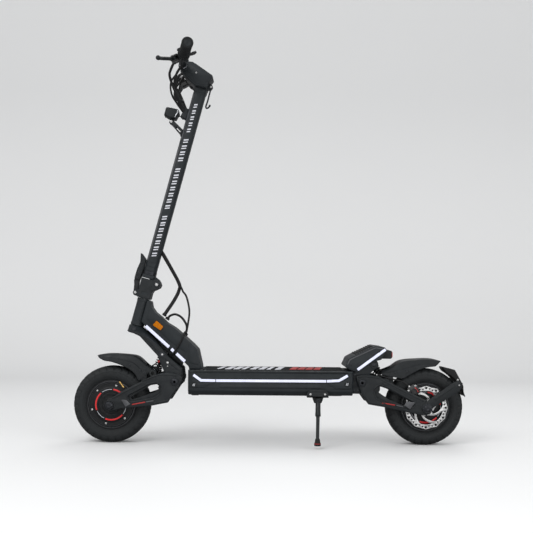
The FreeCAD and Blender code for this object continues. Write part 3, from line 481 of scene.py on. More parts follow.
class Shader:
    """A Principled material, with short ways to wire nodes into it."""

    def __init__(self, name):
        self.mat = bpy.data.materials.new(name)
        self.mat.use_nodes = True
        self.tree = self.mat.node_tree
        self.tree.nodes.clear()
        output = self.new("ShaderNodeOutputMaterial")
        self.bsdf = self.new("ShaderNodeBsdfPrincipled")
        self.plug(self.bsdf.outputs[0], output.inputs[0])
        self.coord = self.new("ShaderNodeTexCoord").outputs["Object"]

    def new(self, kind, **props):
        node = self.tree.nodes.new(kind)
        for key, value in props.items():
            setattr(node, key, value)
        return node

    def plug(self, value, socket):
        """Links an output, or sets a plain value; colours gain an alpha of 1."""
        if isinstance(value, bpy.types.NodeSocket):
            self.tree.links.new(value, socket)
        elif isinstance(value, tuple) and len(value) < len(socket.default_value):
            socket.default_value = (*value, 1.0)
        else:
            socket.default_value = value

    def surface(self, **values):
        """Feeds the Principled inputs; underscores stand for spaces."""
        for key, value in values.items():
            self.plug(value, self.bsdf.inputs[key.replace("_", " ")])
        return self.mat

    def mapped(self, scale):
        node = self.new("ShaderNodeMapping")
        node.inputs["Scale"].default_value = scale
        self.plug(self.coord, node.inputs["Vector"])
        return node.outputs[0]

    def noise(self, scale, detail=3.0, rough=0.55, stretch=None, vector=None):
        source = self.mapped(stretch) if stretch else (vector or self.coord)
        node = self.new("ShaderNodeTexNoise")
        node.inputs["Scale"].default_value = scale
        node.inputs["Detail"].default_value = detail
        node.inputs["Roughness"].default_value = rough
        self.plug(source, node.inputs["Vector"])
        return node.outputs["Fac"]

    def cells(self, scale):
        source = self.mapped((1.0, 1.0, 1.0))
        node = self.new("ShaderNodeTexVoronoi")
        node.inputs["Scale"].default_value = scale
        self.plug(source, node.inputs["Vector"])
        return node.outputs["Distance"]

    def ramp(self, value, to_min, to_max, from_min=0.0, from_max=1.0):
        node = self.new("ShaderNodeMapRange", clamp=True)
        node.inputs["From Min"].default_value = from_min
        node.inputs["From Max"].default_value = from_max
        node.inputs["To Min"].default_value = to_min
        node.inputs["To Max"].default_value = to_max
        self.plug(value, node.inputs["Value"])
        return node.outputs[0]

    def calc(self, operation, a, b):
        node = self.new("ShaderNodeMath", operation=operation)
        self.plug(a, node.inputs[0])
        self.plug(b, node.inputs[1])
        return node.outputs[0]

    def vector(self, operation, a, b=None):
        node = self.new("ShaderNodeVectorMath", operation=operation)
        self.plug(a, node.inputs[0])
        if b is not None:
            self.plug(b, node.inputs[1])
        return node.outputs["Value" if operation in ("LENGTH", "DOT_PRODUCT") else "Vector"]

    def mix(self, share, a, b):
        node = self.new("ShaderNodeMix", data_type="RGBA")
        for index, value in ((0, share), (6, a), (7, b)):     # factor, colours A and B
            self.plug(value, node.inputs[index])
        return node.outputs[2]

    def bump(self, height, strength, distance, normal=None):
        node = self.new("ShaderNodeBump")
        node.inputs["Strength"].default_value = strength
        node.inputs["Distance"].default_value = distance
        self.plug(height, node.inputs["Height"])
        if normal is not None:
            self.plug(normal, node.inputs["Normal"])
        return node.outputs[0]

    def edge(self, radius=0.0009):
        """Rounded normal, and a mask: 0 on flat ground, 1 on edges."""
        bevel = self.new("ShaderNodeBevel", samples=3)
        bevel.inputs["Radius"].default_value = radius
        geometry = self.new("ShaderNodeNewGeometry")
        dot = self.vector("DOT_PRODUCT", bevel.outputs[0], geometry.outputs["Normal"])
        return bevel.outputs[0], self.ramp(dot, 1.0, 0.0, 0.90, 0.995)

    def facing_up(self):
        geometry = self.new("ShaderNodeNewGeometry")
        split = self.new("ShaderNodeSeparateXYZ")
        self.plug(geometry.outputs["Normal"], split.inputs[0])
        return self.ramp(split.outputs[2], 0.0, 1.0, 0.35, 1.0)


def finish(name, color, rough, drift, grain, bump, metal=0.0, drift_scale=14.0,
           bump_depth=0.00012, smudge=0.12, wear=0.0, wear_color=(0.32, 0.33, 0.35),
           dust=0.0, coat=0.0, spec=0.5, stretch=None):
    """Paint, plastic or metal: tone drift, grain, smudges, rubbed edges, a little dust."""
    mat = Shader(name)
    big = mat.noise(drift_scale, 4.0, 0.6)
    fine = mat.noise(grain, 2.0, 0.5, stretch)
    mid = mat.noise(70.0, 5.0, 0.65)
    base = mat.mix(mat.ramp(big, 0.0, 1.0, 0.3, 0.7), tint(color, 1 - drift),
                   tint(color, 1 + drift))
    base = mat.mix(mat.ramp(fine, 0.0, 0.35, 0.35, 0.75), base, tint(color, 1.35, 0.004))
    roughness = mat.calc("ADD", mat.ramp(mid, rough - smudge, rough + smudge, 0.35, 0.65),
                         mat.ramp(fine, -0.03, 0.05, 0.3, 0.7))
    normal = None
    if wear > 0:
        normal, worn = mat.edge()
        spots = mat.ramp(mat.noise(160.0, 4.0, 0.7), 0.0, 1.0, 0.38, 0.62)
        worn = mat.calc("MULTIPLY", worn, mat.calc("MULTIPLY", spots, wear))
        base = mat.mix(worn, base, wear_color)
    if dust > 0:
        dusty = mat.calc("MULTIPLY", mat.facing_up(),
                         mat.ramp(mat.noise(38.0, 6.0, 0.7), 0.0, dust, 0.35, 0.75))
        base = mat.mix(dusty, base, (0.22, 0.215, 0.20))
        roughness = mat.calc("ADD", roughness, mat.calc("MULTIPLY", dusty, 0.6))
    return mat.surface(
        Base_Color=base, Roughness=roughness, Metallic=metal, Specular_IOR_Level=spec,
        Coat_Weight=coat, Coat_Roughness=0.18, Normal=mat.bump(fine, bump, bump_depth, normal))


def glow(name, color, strength, base):
    """Light guide: frosted skin lit from behind, a touch uneven."""
    mat = Shader(name)
    cloud = mat.noise(60.0, 3.0)
    fine = mat.noise(2200.0, 2.0)
    return mat.surface(
        Emission_Strength=mat.ramp(cloud, strength * 0.82, strength * 1.12, 0.3, 0.7),
        Emission_Color=mat.mix(mat.ramp(cloud, 0.0, 0.5, 0.3, 0.7), color, tint(color, 1.08)),
        Base_Color=mat.mix(mat.ramp(fine, 0.0, 0.3), base, tint(base, 0.9)),
        Roughness=mat.ramp(fine, 0.25, 0.45, 0.3, 0.7),
        Normal=mat.bump(fine, 0.15, 0.0001))


def prism_lens(name, color, painted_glow, cell, coat=0.7):
    """Moulded lens: glossy skin over small prism cells. Cell centres are painted lighter and
    glowing and cell rims darker: painted glints of light caught by the prisms.
    """
    mat = Shader(name)
    cells = mat.cells(cell)
    cloud = mat.noise(40.0, 3.0)
    return mat.surface(
        Base_Color=mat.mix(mat.ramp(cells, 0.0, 0.7, 0.1, 0.6), tint(color, 1.25),
                           tint(color, 0.45)),
        Roughness=mat.ramp(cloud, 0.10, 0.22, 0.3, 0.7),
        Normal=mat.bump(cells, 0.35, 0.0006),
        Coat_Weight=coat, Specular_IOR_Level=coat * 0.6, Coat_Roughness=0.05,
        Emission_Color=color, Emission_Strength=mat.ramp(cells, painted_glow, painted_glow * 0.5, 0.1, 0.6))


def rubber(name, color, rough, grain, bump, dust, bump_depth=0.0002):
    mat = Shader(name)
    fine = mat.noise(grain, 4.0, 0.65)
    big = mat.noise(18.0, 4.0, 0.6)
    base = mat.mix(mat.ramp(big, 0.0, 1.0, 0.3, 0.7), tint(color, 0.75), tint(color, 1.35))
    dusty = mat.calc("MULTIPLY", mat.ramp(fine, 0.0, 1.0, 0.5, 0.8), dust)
    return mat.surface(
        Base_Color=mat.mix(dusty, base, (0.20, 0.195, 0.185)),
        Roughness=mat.ramp(big, rough - 0.08, rough + 0.1, 0.3, 0.7),
        Specular_IOR_Level=0.28, Normal=mat.bump(fine, bump, bump_depth))


def turned(name, color, rough, centre, metal=1.0, spec=0.5, grain=3640.0):
    """Turned surface with marks that run round a centre (x, z)."""
    mat = Shader(name)
    offset = mat.vector("SUBTRACT", mat.coord, (centre[0] * MM, 0.0, centre[1] * MM))
    radius = mat.vector("LENGTH", mat.vector("MULTIPLY", offset, (1.0, 0.0, 1.0)))
    join = mat.new("ShaderNodeCombineXYZ")
    mat.plug(radius, join.inputs[0])
    fine = mat.noise(grain, 3.0, 0.7, vector=join.outputs[0])
    big = mat.noise(30.0, 4.0)
    base = mat.mix(mat.ramp(fine, 0.0, 1.0, 0.3, 0.7), tint(color, 0.72), tint(color, 1.12))
    return mat.surface(
        Base_Color=mat.mix(mat.ramp(big, 0.0, 0.25, 0.4, 0.7), base, tint(color, 0.5)),
        Metallic=metal, Specular_IOR_Level=spec,
        Roughness=mat.calc("ADD", mat.ramp(fine, -0.06, 0.08, 0.3, 0.7),
                           mat.ramp(big, rough - 0.05, rough + 0.1, 0.3, 0.7)),
        Normal=mat.bump(fine, 0.25, 0.0001))


SCUFF = (0.12, 0.125, 0.13)
BLACK = finish("frame_black", (0.0085, 0.0108, 0.0125), rough=0.42, drift=0.22, grain=1500,
               bump=0.22, bump_depth=0.0001, wear=0.07, wear_color=SCUFF, dust=0.008, spec=0.26)
CHARCOAL = finish("cast_charcoal", (0.0125, 0.0160, 0.0185), rough=0.46, drift=0.22,
                  grain=1200, bump=0.28, wear=0.07, wear_color=SCUFF, dust=0.008, spec=0.26)
PLASTIC = finish("moulded_plastic", (0.0085, 0.0105, 0.0120), rough=0.50, drift=0.22,
                 grain=1900, bump=0.32, bump_depth=0.00014, wear=0.05,
                 wear_color=(0.06, 0.06, 0.06), dust=0.008, spec=0.26)
GLOSS = finish("gloss_black", (0.007, 0.007, 0.008), rough=0.24, drift=0.2, grain=1900,
               bump=0.08, bump_depth=0.00006, smudge=0.06, wear=0.05,
               wear_color=(0.08, 0.08, 0.08), dust=0.006, coat=0.12, spec=0.34)
# Used for real grey marks, and also for the painted highlights on the stem facets and the
# footrest edges.
GREY = finish("satin_grey", (0.052, 0.054, 0.060), rough=0.42, drift=0.15, grain=1500,
              bump=0.2, wear=0.2, wear_color=(0.3, 0.3, 0.3), dust=0.01)
PALE = finish("printed_pale", (0.60, 0.61, 0.66), rough=0.5, drift=0.12, grain=1500,
              bump=0.15, smudge=0.08)
RED = finish("printed_red", (0.36, 0.010, 0.008), rough=0.42, drift=0.18, grain=1500,
             bump=0.15, smudge=0.08, wear=0.1, wear_color=(0.5, 0.2, 0.16))
STEEL = finish("zinc_steel", (0.42, 0.42, 0.42), rough=0.32, metal=1.0, drift=0.18,
               drift_scale=60, grain=900, bump=0.12, smudge=0.1)
DARK_STEEL = finish("black_steel", (0.034, 0.036, 0.040), rough=0.36, metal=1.0, drift=0.25,
                    drift_scale=60, grain=900, bump=0.15, smudge=0.1, wear=0.14,
                    wear_color=(0.2, 0.2, 0.2))
HUB_RED = finish("hub_red", (0.62, 0.012, 0.014), rough=0.40, drift=0.12, grain=1500,
                 bump=0.12, smudge=0.08)
ALU = finish("anodised_alu", (0.42, 0.43, 0.45), rough=0.32, metal=1.0, drift=0.12,
             drift_scale=30, grain=800, bump=0.12, smudge=0.08, stretch=(1, 1, 12))
BRASS = finish("brass", (0.55, 0.36, 0.13), rough=0.32, metal=1.0, drift=0.2,
               drift_scale=80, grain=900, bump=0.1)
TYRE = rubber("tyre_rubber", (0.0120, 0.0138, 0.0150), rough=0.64, grain=700, bump=0.35,
              dust=0.045)
SOFT = rubber("soft_rubber", (0.009, 0.009, 0.0095), rough=0.72, grain=1100, bump=0.4,
              dust=0.05)
GRIP = rubber("grip_rubber", (0.008, 0.0092, 0.0100), rough=0.74, grain=1500, bump=0.5,
              dust=0.03)
MAT = rubber("mat_rubber", (0.011, 0.012, 0.013), rough=0.84, grain=1300, bump=0.7,
             dust=0.05, bump_depth=0.0003)
HOSE = rubber("hose_rubber", (0.007, 0.007, 0.0075), rough=0.55, grain=1600, bump=0.2,
              dust=0.03, bump_depth=0.0001)
LED = glow("light_guide", (0.79, 0.82, 1.0), strength=0.38, base=(0.56, 0.58, 0.72))
# Lenses and reflector: their faint glow is painted light caught in the prisms.
CLEAR_LENS = prism_lens("clear_lens", (0.55, 0.57, 0.60), painted_glow=0.12, cell=300)
AMBER = prism_lens("amber_reflector", (0.56, 0.165, 0.001), painted_glow=0.05, cell=520, coat=0.12)
RED_LENS = prism_lens("red_lens", (0.55, 0.006, 0.010), painted_glow=0.20, cell=460)
GLASS = finish("display_glass", (0.006, 0.007, 0.009), rough=0.08, drift=0.2, grain=2000,
               bump=0.02, smudge=0.04, coat=1.0)
DIGITS = glow("display_digits", (0.55, 0.85, 1.0), strength=0.7, base=(0.3, 0.5, 0.6))
ROTOR = {end: turned("rotor_steel_" + end, (0.56, 0.56, 0.56), rough=0.30, centre=centre)
         for end, centre in (("front", FRONT_AXLE), ("rear", REAR_AXLE))}
HUB = {end: turned("hub_cast_" + end, (0.0075, 0.0085, 0.0095), rough=0.42, centre=centre,
                   metal=0.0, spec=0.22, grain=1680.0)
       for end, centre in (("front", FRONT_AXLE), ("rear", REAR_AXLE))}
RIM_EDGE = finish("rim_edge", (0.055, 0.057, 0.062), rough=0.30, metal=0.7, drift=0.15,
                  grain=900, bump=0.12)

# ====================================================================== deck
DECK_FRONT, DECK_REAR = -255.4, 268.8
DECK_CORNER = 16
DECK_PLUGS = ((-235.2, 195.1), (248.9, 200.9))
DECK_LIGHT = [(-237.7, 227), (-213.2, 209.5), (-172, 209), (184.7, 210), (222.6, 212),
              (250.8, 228.4)]
DECK_GUIDES = [[(-237.0, 226.5), (-213.2, 209.5), (-172, 209), (-167.4, 209)],
               [(-165.4, 209.0), (182.4, 210)],
               [(184.4, 210), (222.6, 212), (250.2, 228.0)]]
NECK_LIGHT = [[(-397.8, 378.5), (-321, 311.5)], [(-313.5, 305.3), (-304.0, 297.0)],
              [(-296.4, 290.6), (-268.8, 266.0)]]
# Sections along the deck: x, how far the edges draw in, height of the middle
DECK_STATIONS = [(DECK_FRONT, 1.6, 250), (DECK_FRONT + 0.35, 0.5, 250)]
DECK_STATIONS += [(DECK_FRONT + d, 0, 250) for d in (1.2, 3, 6, 10, 16)]
DECK_STATIONS += [(-213.8, 0, 250), (-213.8, 0, 237.5), (0, 0, 237.5), (263.2, 0, 237.5),
                  (263.2, 0, 250), (DECK_REAR - 3, 0, 250), (DECK_REAR - 1.2, 0, 250),
                  (DECK_REAR - 0.35, 0.5, 250), (DECK_REAR, 1.6, 250)]
# Raised facets on the deck sides: (x, z) outline, height, rim
DECK_FACETS = [
    ([(-243, 190), (-236, 186.8), (-203.5, 186.8), (-173, 201.6), (-214, 202), (-240, 219)],
     0.9, 0.8),
    ([(262, 190), (254, 186.8), (214, 186.8), (184, 202.4), (222, 204.6), (256, 222)],
     0.9, 0.8),
    ([(-164, 187.5), (176, 187.5), (150, 201.2), (-140, 201.2)], 0.55, 0.5)]


def deck_ring(x, rim, top):
    """Cross-section at x, narrowing round the corners in plan."""
    reach = min(x - DECK_FRONT, DECK_REAR - x)
    drawn = 0.0
    if reach < DECK_CORNER:
        drawn = DECK_CORNER - sqrt(max(0.0, DECK_CORNER ** 2 - (DECK_CORNER - reach) ** 2))
    wide = DECK_Y - drawn
    high = 241.0 - rim
    # (y, z) from the bottom middle round to the top middle
    half = [(0, 163 + rim), (86 - drawn - 3, 163 + rim), (86 - drawn, 164 + rim * 0.8),
            (wide - 1.0, 175), (wide, 178), (wide, 184), (wide - 0.9, 184.8), (wide, 185.6),
            (wide, 232.6), (wide - 1.0, 233.6), (wide, 234.6), (wide, min(high, 238.6)),
            (wide - 0.6, min(high, 240.2)), (wide - 2.2, high), (min(91.6, wide - 3), high),
            (min(91.2, wide - 3.4), min(high, top)), (0, min(high, top))]
    return [(x, -y, z) for y, z in half] + [(x, y, z) for y, z in half[::-1]][1:-1]


part = Piece("deck_casting")
part.loft([deck_ring(*station) for station in DECK_STATIONS])
# belly plate with ribs
part.slab(fillet(rect(-226, -76, 236, 76), 14), 161.2, 163.6, plan, rim=0.8)
for i in range(7):
    y = -54 + 18 * i
    part.slab(fillet(rect(-200, y - 2.2, 210, y + 2.2), 2), 160.2, 161.8, plan, rim=0.7, steps=2)
for side in SIDES:
    for outline, height, rim in DECK_FACETS:
        part.slab(fillet(outline, 3), -1.0, height, flank(side, DECK_Y), rim=rim)
    part.slab(fillet([(-242, 160.6), (-222, 160.6), (-214, 166), (-250, 166)], 2), 60, 84,
              flank(side), rim=1.2)
part.done("chassis", CHARCOAL, "cast_charcoal", "deck_shell")

part = Piece("deck_bezels")
for side in SIDES:
    part.slab(strip(DECK_LIGHT, 12.0, 2.0), -1.0, 0.55, flank(side, DECK_Y), rim=0.45, steps=2)
    part.slab(strip([(DECK_FRONT + 18, 237.2), (DECK_REAR - 18, 237.2)], 3.2, 1.2), -0.6, 0.45,
              flank(side, DECK_Y), rim=0.4, steps=2)
    for x, z in DECK_PLUGS:
        part.lathe([(-0.5, 9.4), (1.4, 9.2), (1.9, 8.6), (1.9, 7.0), (1.1, 6.4), (1.1, 0)],
                   flank(side, DECK_Y + 0.6, x, z), 40)
part.done("chassis", PLASTIC, "plastic_black")

part = Piece("deck_side_plugs")
for side in SIDES:
    for x, z in DECK_PLUGS:
        for dx in (-3.3, 0.7):
            part.slab([(x + dx - 1.2, z - 4.2), (x + dx + 1.2, z - 4.2),
                       (x + dx + 3.2, z + 4.2), (x + dx + 0.8, z + 4.2)],
                      0.9, 1.5, flank(side, DECK_Y + 0.6), rim=0.2, steps=1)
part.done("chassis", ALU, "alu")

part = Piece("light_guides")
for side in SIDES:
    for line in DECK_GUIDES:
        part.slab(strip(line, 8.2, 1.0), -0.6, 1.15, flank(side, DECK_Y), rim=0.6)
    for line in NECK_LIGHT:
        part.slab(strip(line, 9.8, 0.8), -0.6, 0.5, neck_face(side), rim=0.4)
    part.slab(strip([(283.3, 245.9), (371.5, 311.1)], 8.6, 1.0), -0.6, 1.0,
              flank(side, FOOTREST_Y + 0.8), rim=0.5)
part.done("chassis", LED, "light_strip", "side_led_strips")

# grip mat: moulded lozenges inside a plain border, clear along one printed line
part = Piece("grip_mat")
mat_outline = fillet(rect(-211, -79, 243, 79), 12, 6)
part.slab(mat_outline, 240.6, 242.7, plan, rim=0.8)
for i in range(46):
    for j in range(15):
        x, y = -198 + i * 9.55 + (4.775 if j % 2 else 0), -68.6 + j * 9.8
        if x > 232 or (abs(y + 58.8) < 12 and -150 < x < 178):
            continue
        lozenge = [(x - 4.3, y), (x, y - 3.7), (x + 4.3, y), (x, y + 3.7)]
        part.loft([[(*q, 242.4) for q in lozenge],
                   [(*q, 243.7) for q in inset(lozenge, 0.5)],
                   [(*q, 244.0) for q in inset(lozenge, 1.1)]])
part.slab(inset(mat_outline, 1.6), 242.4, 243.9, plan, rim=0.5,
          holes=[inset(mat_outline, 4.6)], steps=2)
part.done("chassis", MAT, "mat_rubber", "deck_mat", sharp=25)


def printed_bars(part, x, width, spans):
    """Slanted bars on the mat, one for each (y0, y1) span."""
    for y0, y1 in spans:
        lean0, lean1 = y0 * 0.14, y1 * 0.14
        part.slab([(x + lean0, y0), (x + width + lean0, y0), (x + width + lean1, y1),
                   (x + lean1, y1)], 242.4, 244.25, plan, rim=0.2, steps=1)


part = Piece("mat_print_pale")
for i in range(8):
    whole = i % 3 == 0
    printed_bars(part, -158 + i * 26.6, 12.0 if whole else 18.0,
                 ((-56, 56),) if whole else ((-56, -8), (6, 56)))
part.done("chassis", PALE, "mat_rubber")
part = Piece("mat_print_red")
for i in range(4):
    printed_bars(part, 74 + i * 25.5, 21, ((-50, -16), (-4, 50)))
part.done("chassis", RED, "mat_rubber")

# ====================================================================== neck
NECK = [(-383.1, 458.6), (-379.7, 438.9), (-368, 422.6), (-351.4, 409.5), (-331.6, 389.7),
        (-305, 373.5), (-281.9, 354), (-245.2, 321.4), (-228.6, 303.5), (-216.8, 252),
        (-216.2, 241), (-254.5, 241), (-257.5, 250.5), (-276.2, 268.4), (-316, 299.5),
        (-402, 379.5), (-413, 392), (-394, 462)]
NECK_RADII = [4, 4, 5, 5, 5, 5, 5, 5, 6, 5, 0, 0, 3, 6, 6, 6, 5, 4]
# raised flank in two facets with a crease between them
NECK_FACETS = [
    [(-392, 397), (-396, 402), (-386, 440), (-378, 426), (-350, 402), (-330, 383.5),
     (-304, 367), (-281, 347.5), (-262, 331), (-262, 292), (-318, 330)],
    [(-257, 327), (-241, 313.5), (-235, 300), (-226, 256), (-253, 262), (-257, 272)]]
STEERER = [(-135, 17.2), (-135, 21.2), (-134, 22.4), (-127, 22.4), (-126, 21.6), (-55, 21.6),
           (-54, 22.6), (-46.2, 22.6), (-45.2, 21.6), (-45.2, 17.2)]
REFLECTOR = [(-362.3, 397.8), (-338.9, 376.8), (-348.8, 363.5), (-376.6, 381.3)]


def neck_taper(u, v, w):
    """Both faces at once: |w| = 100 falls on the neck's side face."""
    sign = 1 if w > 0 else -1
    return (u, sign * (neck_half(u) - (100 - abs(w))), v)


part = Piece("neck_casting")
part.slab(fillet(NECK, NECK_RADII), -100, 100, neck_taper, rim=4.0, steps=5)
for side in SIDES:
    for outline in NECK_FACETS:
        part.slab(fillet(outline, 3), -1.2, 0.9, neck_face(side), rim=0.8)
    for line in NECK_LIGHT:
        part.slab(strip(line, 12.2, 1.4), -1.2, 0.25, neck_face(side), rim=0.2, steps=2)
part.lathe(STEERER, lambda u, v, w: stem_point(STEER_X + u, v, w), 64, loop=True)
part.done("chassis", CHARCOAL, "cast_charcoal", "neck_frame")

part = Piece("neck_reflectors")
for side in SIDES:
    part.slab(fillet(inset(REFLECTOR, 0.9), 2.4), 0.3, 2.5, neck_face(side), rim=0.8)
    for i in range(6):
        share = (i + 0.5) / 6
        (ax, az), (bx, bz), (cx, cz), (dx, dz) = REFLECTOR
        top = Vector((ax + (bx - ax) * share, az + (bz - az) * share))
        foot = Vector((dx + (cx - dx) * share, dz + (cz - dz) * share))
        line = [tuple(top.lerp(foot, t)) for t in (0.2, 0.8)]
        part.slab(strip(line, 2.2, 0.5), 2.2, 2.75, neck_face(side), rim=0.25, steps=1)
part.done("chassis", AMBER, "amber", "side_reflectors")
part = Piece("reflector_frames")
for side in SIDES:
    part.slab(fillet(inset(REFLECTOR, -1.6), 3), -0.6, 1.7, neck_face(side), rim=0.5,
              holes=[fillet(inset(REFLECTOR, 0.7), 2.4)], steps=2)
part.done("chassis", PLASTIC, "plastic_black")

# ===================================================== rear pivot and footrest
REAR_CASTING = [(268.8, 167), (296.6, 167), (303, 186), (314, 192), (318, 204), (316, 218),
                (330, 236), (350, 252), (352, 262), (348, 275.46), (333.5, 272.4),
                (282.2, 237.2), (268.8, 237.2)]
FOOTREST = [(243.9, 255.7), (254.8, 280.3), (272.5, 290.3), (339.8, 321.8), (370, 317.6),
            (376.5, 307.8), (358.6, 277.7), (333.5, 272.4), (282.2, 237.2), (268.8, 241.05),
            (257.3, 245.4), (248, 251.6)]
FOOTREST_CHEEK = [(249.5, 257), (257.5, 276.6), (274, 286), (339.6, 316.6), (366, 312.6),
                  (368, 311.6), (276.8, 244.6), (259, 249.6)]
FOOTREST_EDGE = [(251.2, 262), (257.8, 276.4), (274.4, 285.4), (340, 316.0), (364, 312.9)]

part = Piece("rear_casting")
for side in SIDES:
    part.slab(fillet(REAR_CASTING, [0, 4, 6, 8, 8, 6, 6, 6, 6, 0, 0, 0, 0]), 20, CASTING_Y,
              flank(side), rim=2.0,
              holes=[circle(*REAR_SHOCK[0], 6.0, 28), circle(*REAR_PIVOT, 6.0, 28)])
    part.lathe([(53.5, 6.2), (53.5, 14), (55.4, 14), (56.2, 13), (56.2, 6.2)],
               flank(side, 0, *REAR_SHOCK[0]), 40, loop=True)
part.slab([(268.8, 168), (295.4, 168), (296.6, 190), (296.6, 236), (290, 242), (282.2, 237.2),
           (268.8, 237)], -21, 21, flank(), rim=0.6)
part.slab([(290, 242.4), (333.5, 272.0), (348, 275.2), (346, 268), (318, 249), (298, 234)],
          -21, 21, flank(), rim=0.8)
part.done("chassis", CHARCOAL, "cast_charcoal", "rear_pivot_block")

part = Piece("footrest")
part.slab(fillet(FOOTREST, [2, 6, 6, 6, 5, 3, 2, 0, 0, 0, 2, 2]), -FOOTREST_Y, FOOTREST_Y,
          flank(), rim=3.0, steps=5)
for side in SIDES:
    part.slab(fillet(FOOTREST_CHEEK, 3), -1.2, 0.8, flank(side, FOOTREST_Y), rim=0.7)
    part.slab(strip([(280.6, 243.8), (372.4, 311.8)], 10.0, 1.5), -1.2, 1.1,
              flank(side, FOOTREST_Y), rim=0.4, steps=2)
part.done("chassis", CHARCOAL, "cast_charcoal")
# Grey strip along the upper edge of each footrest cheek: painted highlight on the lit upper
# edge.
part = Piece("footrest_edge_highlight")
for side in SIDES:
    part.slab(strip(FOOTREST_EDGE, 3.4, 0.8), 0.3, 1.35, flank(side, FOOTREST_Y), rim=0.5,
              steps=2)
part.done("chassis", GREY, "cast_charcoal")

part = Piece("footrest_pad")
# rubber treads across the sloping top
start, end = Vector((276.5, 293.4)), Vector((336, 321.2))
slope = (end - start).normalized()
rise = Vector((-slope.y, slope.x))
for i in range(8):
    centre = start + slope * (4 + i * 8.0)
    tread = [centre - slope * 2.4 - rise * 2.2, centre + slope * 2.4 - rise * 2.2,
             centre + slope * 1.8 + rise * 1.3, centre - slope * 1.8 + rise * 1.3]
    part.slab(fillet([tuple(q) for q in tread], 0.7, 2), -64, 64, flank(), rim=1.2)
part.done("chassis", SOFT, "soft_rubber")

part = Piece("tail_light_housing")
part.slab(fillet([(366, 306), (393.6, 306), (395.4, 303), (395.4, 282), (393.6, 279.6),
                  (360, 279.6)], [0, 2, 1.5, 1.5, 2, 0]), -44, 44, flank(), rim=2.0, steps=4)
part.slab(fillet(rect(-43, 280.8, 43, 304.8), 4), 394, 397.4, end_view, rim=0.8,
          holes=[fillet(rect(-40.3, 283.2, 40.3, 302.4), 3)], steps=2)
for i in range(5):
    part.slab(fillet(rect(370 + i * 4.2, 303.6, 372.2 + i * 4.2, 307.1), 0.6, 2), -36, 36,
              flank(), rim=0.7, steps=2)
part.done("chassis", PLASTIC, "plastic_black", "rear_footrest")
part = Piece("tail_lens")
part.slab(fillet(rect(-40, 283.5, 40, 302.1), 3), 394.5, 399.6, end_view, rim=2.0, steps=4)
for i in range(15):
    y = -36.4 + i * 5.2
    part.slab(fillet(rect(y - 1.7, 285.5, y + 1.7, 300), 1.2, 2), 399.0, 400.0, end_view,
              rim=0.4, steps=2)
part.done("chassis", RED_LENS, "red_lens", "tail_light_lens")


def pivot_bolt(part, side, pivot):
    part.lathe([(-0.2, 11.2), (0.8, 11.2), (1.2, 10.8), (1.2, 10.2)],
               flank(side, ARM_OUT + 0.3, *pivot))
    part.bolt(flank(side, ARM_OUT + 0.6, *pivot), 9.4, 3.6)


part = Piece("rear_pivot_bolts")
for side in SIDES:
    pivot_bolt(part, side, REAR_PIVOT)
    part.bolt(flank(side, 56.0, *REAR_SHOCK[0]), 7.2, 3.2)
part.done("chassis", DARK_STEEL, "steel", "rear_pins")
part = Piece("footrest_screws")
for x, z in ((288.6, 262.5), (333.0, 292.8), (352, 304.6), (262, 262)):
    for side in SIDES:
        part.bolt(flank(side, FOOTREST_Y + 0.8, x, z), 3.1, 1.8)
for x, z in ((274.5, 178), (288, 178), (276, 214), (276, 228)):
    for side in SIDES:
        part.bolt(flank(side, CASTING_Y, x, z), 3.4, 2.2)
part.done("chassis", DARK_STEEL, "steel")

# ================================================================ side stand
part = Piece("stand_plate")
part.slab(fillet([(122, 158), (190, 158), (190, 172), (182, 181), (130, 181), (122, 172)],
                 [2, 2, 4, 4, 4, 4]), -102, -98.1, flank(), rim=1.0)
part.slab(rect(122, -102, 190, -66), 158, 163, plan, rim=1.0)
part.slab(fillet([(138, 160), (177, 160), (169, 138.5), (146, 138.5)], 5), -84, -77, flank(),
          rim=1.2)
part.slab(fillet([(126, 176), (186, 176), (180, 183), (132, 183)], 2), -103.2, -99, flank(),
          rim=0.8)
part.done("chassis", BLACK, "frame_black", "stand_bracket")
part = Piece("stand_screws")
for x in (133, 179):
    part.bolt(flank(-1, 102, x, 168.5), 3.4, 2.4)
part.done("chassis", STEEL, "steel")
part = Piece("stand_pivot_bolt")
part.bolt(flank(-1, 97, *STAND_PIVOT), 5.6, 3.0)
part.lathe([(-21, 4.2), (0, 4.2)], flank(-1, 97, *STAND_PIVOT), 28)
part.done("chassis", DARK_STEEL, "steel")

part = Piece("stand_leg_tube")
part.lathe([(-97, 4.5), (-97, 8.6), (-96, 9.5), (-85.2, 9.5), (-84.2, 8.6), (-84.2, 4.5)],
           flank(1, 0, *STAND_PIVOT), 40, loop=True)
hip = Vector((STAND_PIVOT[0], -93, STAND_PIVOT[1] - 6))
knee, toe = Vector((156.9, -105, 109)), Vector((154.6, -130, 26))
upper, lower = (knee - hip).length, (toe - knee).length
part.lathe([(-2, 6.4), (0, 7.6), (3, 8.0), (upper - 3, 8.2), (upper + 3, 8.8),
            (upper + 8, 8.8), (upper + 10, 7.2), (upper + 10, 5)], axis(hip, knee - hip), 32)
part.lathe([(0, 5.8), (lower - 10, 5.2), (lower, 5.2)],
           axis(knee + (toe - knee).normalized() * 4, toe - knee), 28)
part.done("side_stand", BLACK, "frame_black", "stand_leg")
part = Piece("stand_foot")
foot_axis = axis((154.7, -130, 33), (0, 0, -1))
part.lathe([(0, 6.0), (2, 7.2), (6, 8.0), (10, 8.4), (13, 9.4), (16, 10.4), (20, 10.6),
            (22.4, 9.8), (22.8, 8.4), (22.8, 0)], foot_axis, 36)
part.done("side_stand", SOFT, "soft_rubber")
part = Piece("stand_foot_band")
part.lathe([(14.6, 8.4), (14.6, 10.4), (16.2, 10.9), (16.2, 8.4)], foot_axis, 36, loop=True)
part.done("side_stand", RED, "soft_rubber")

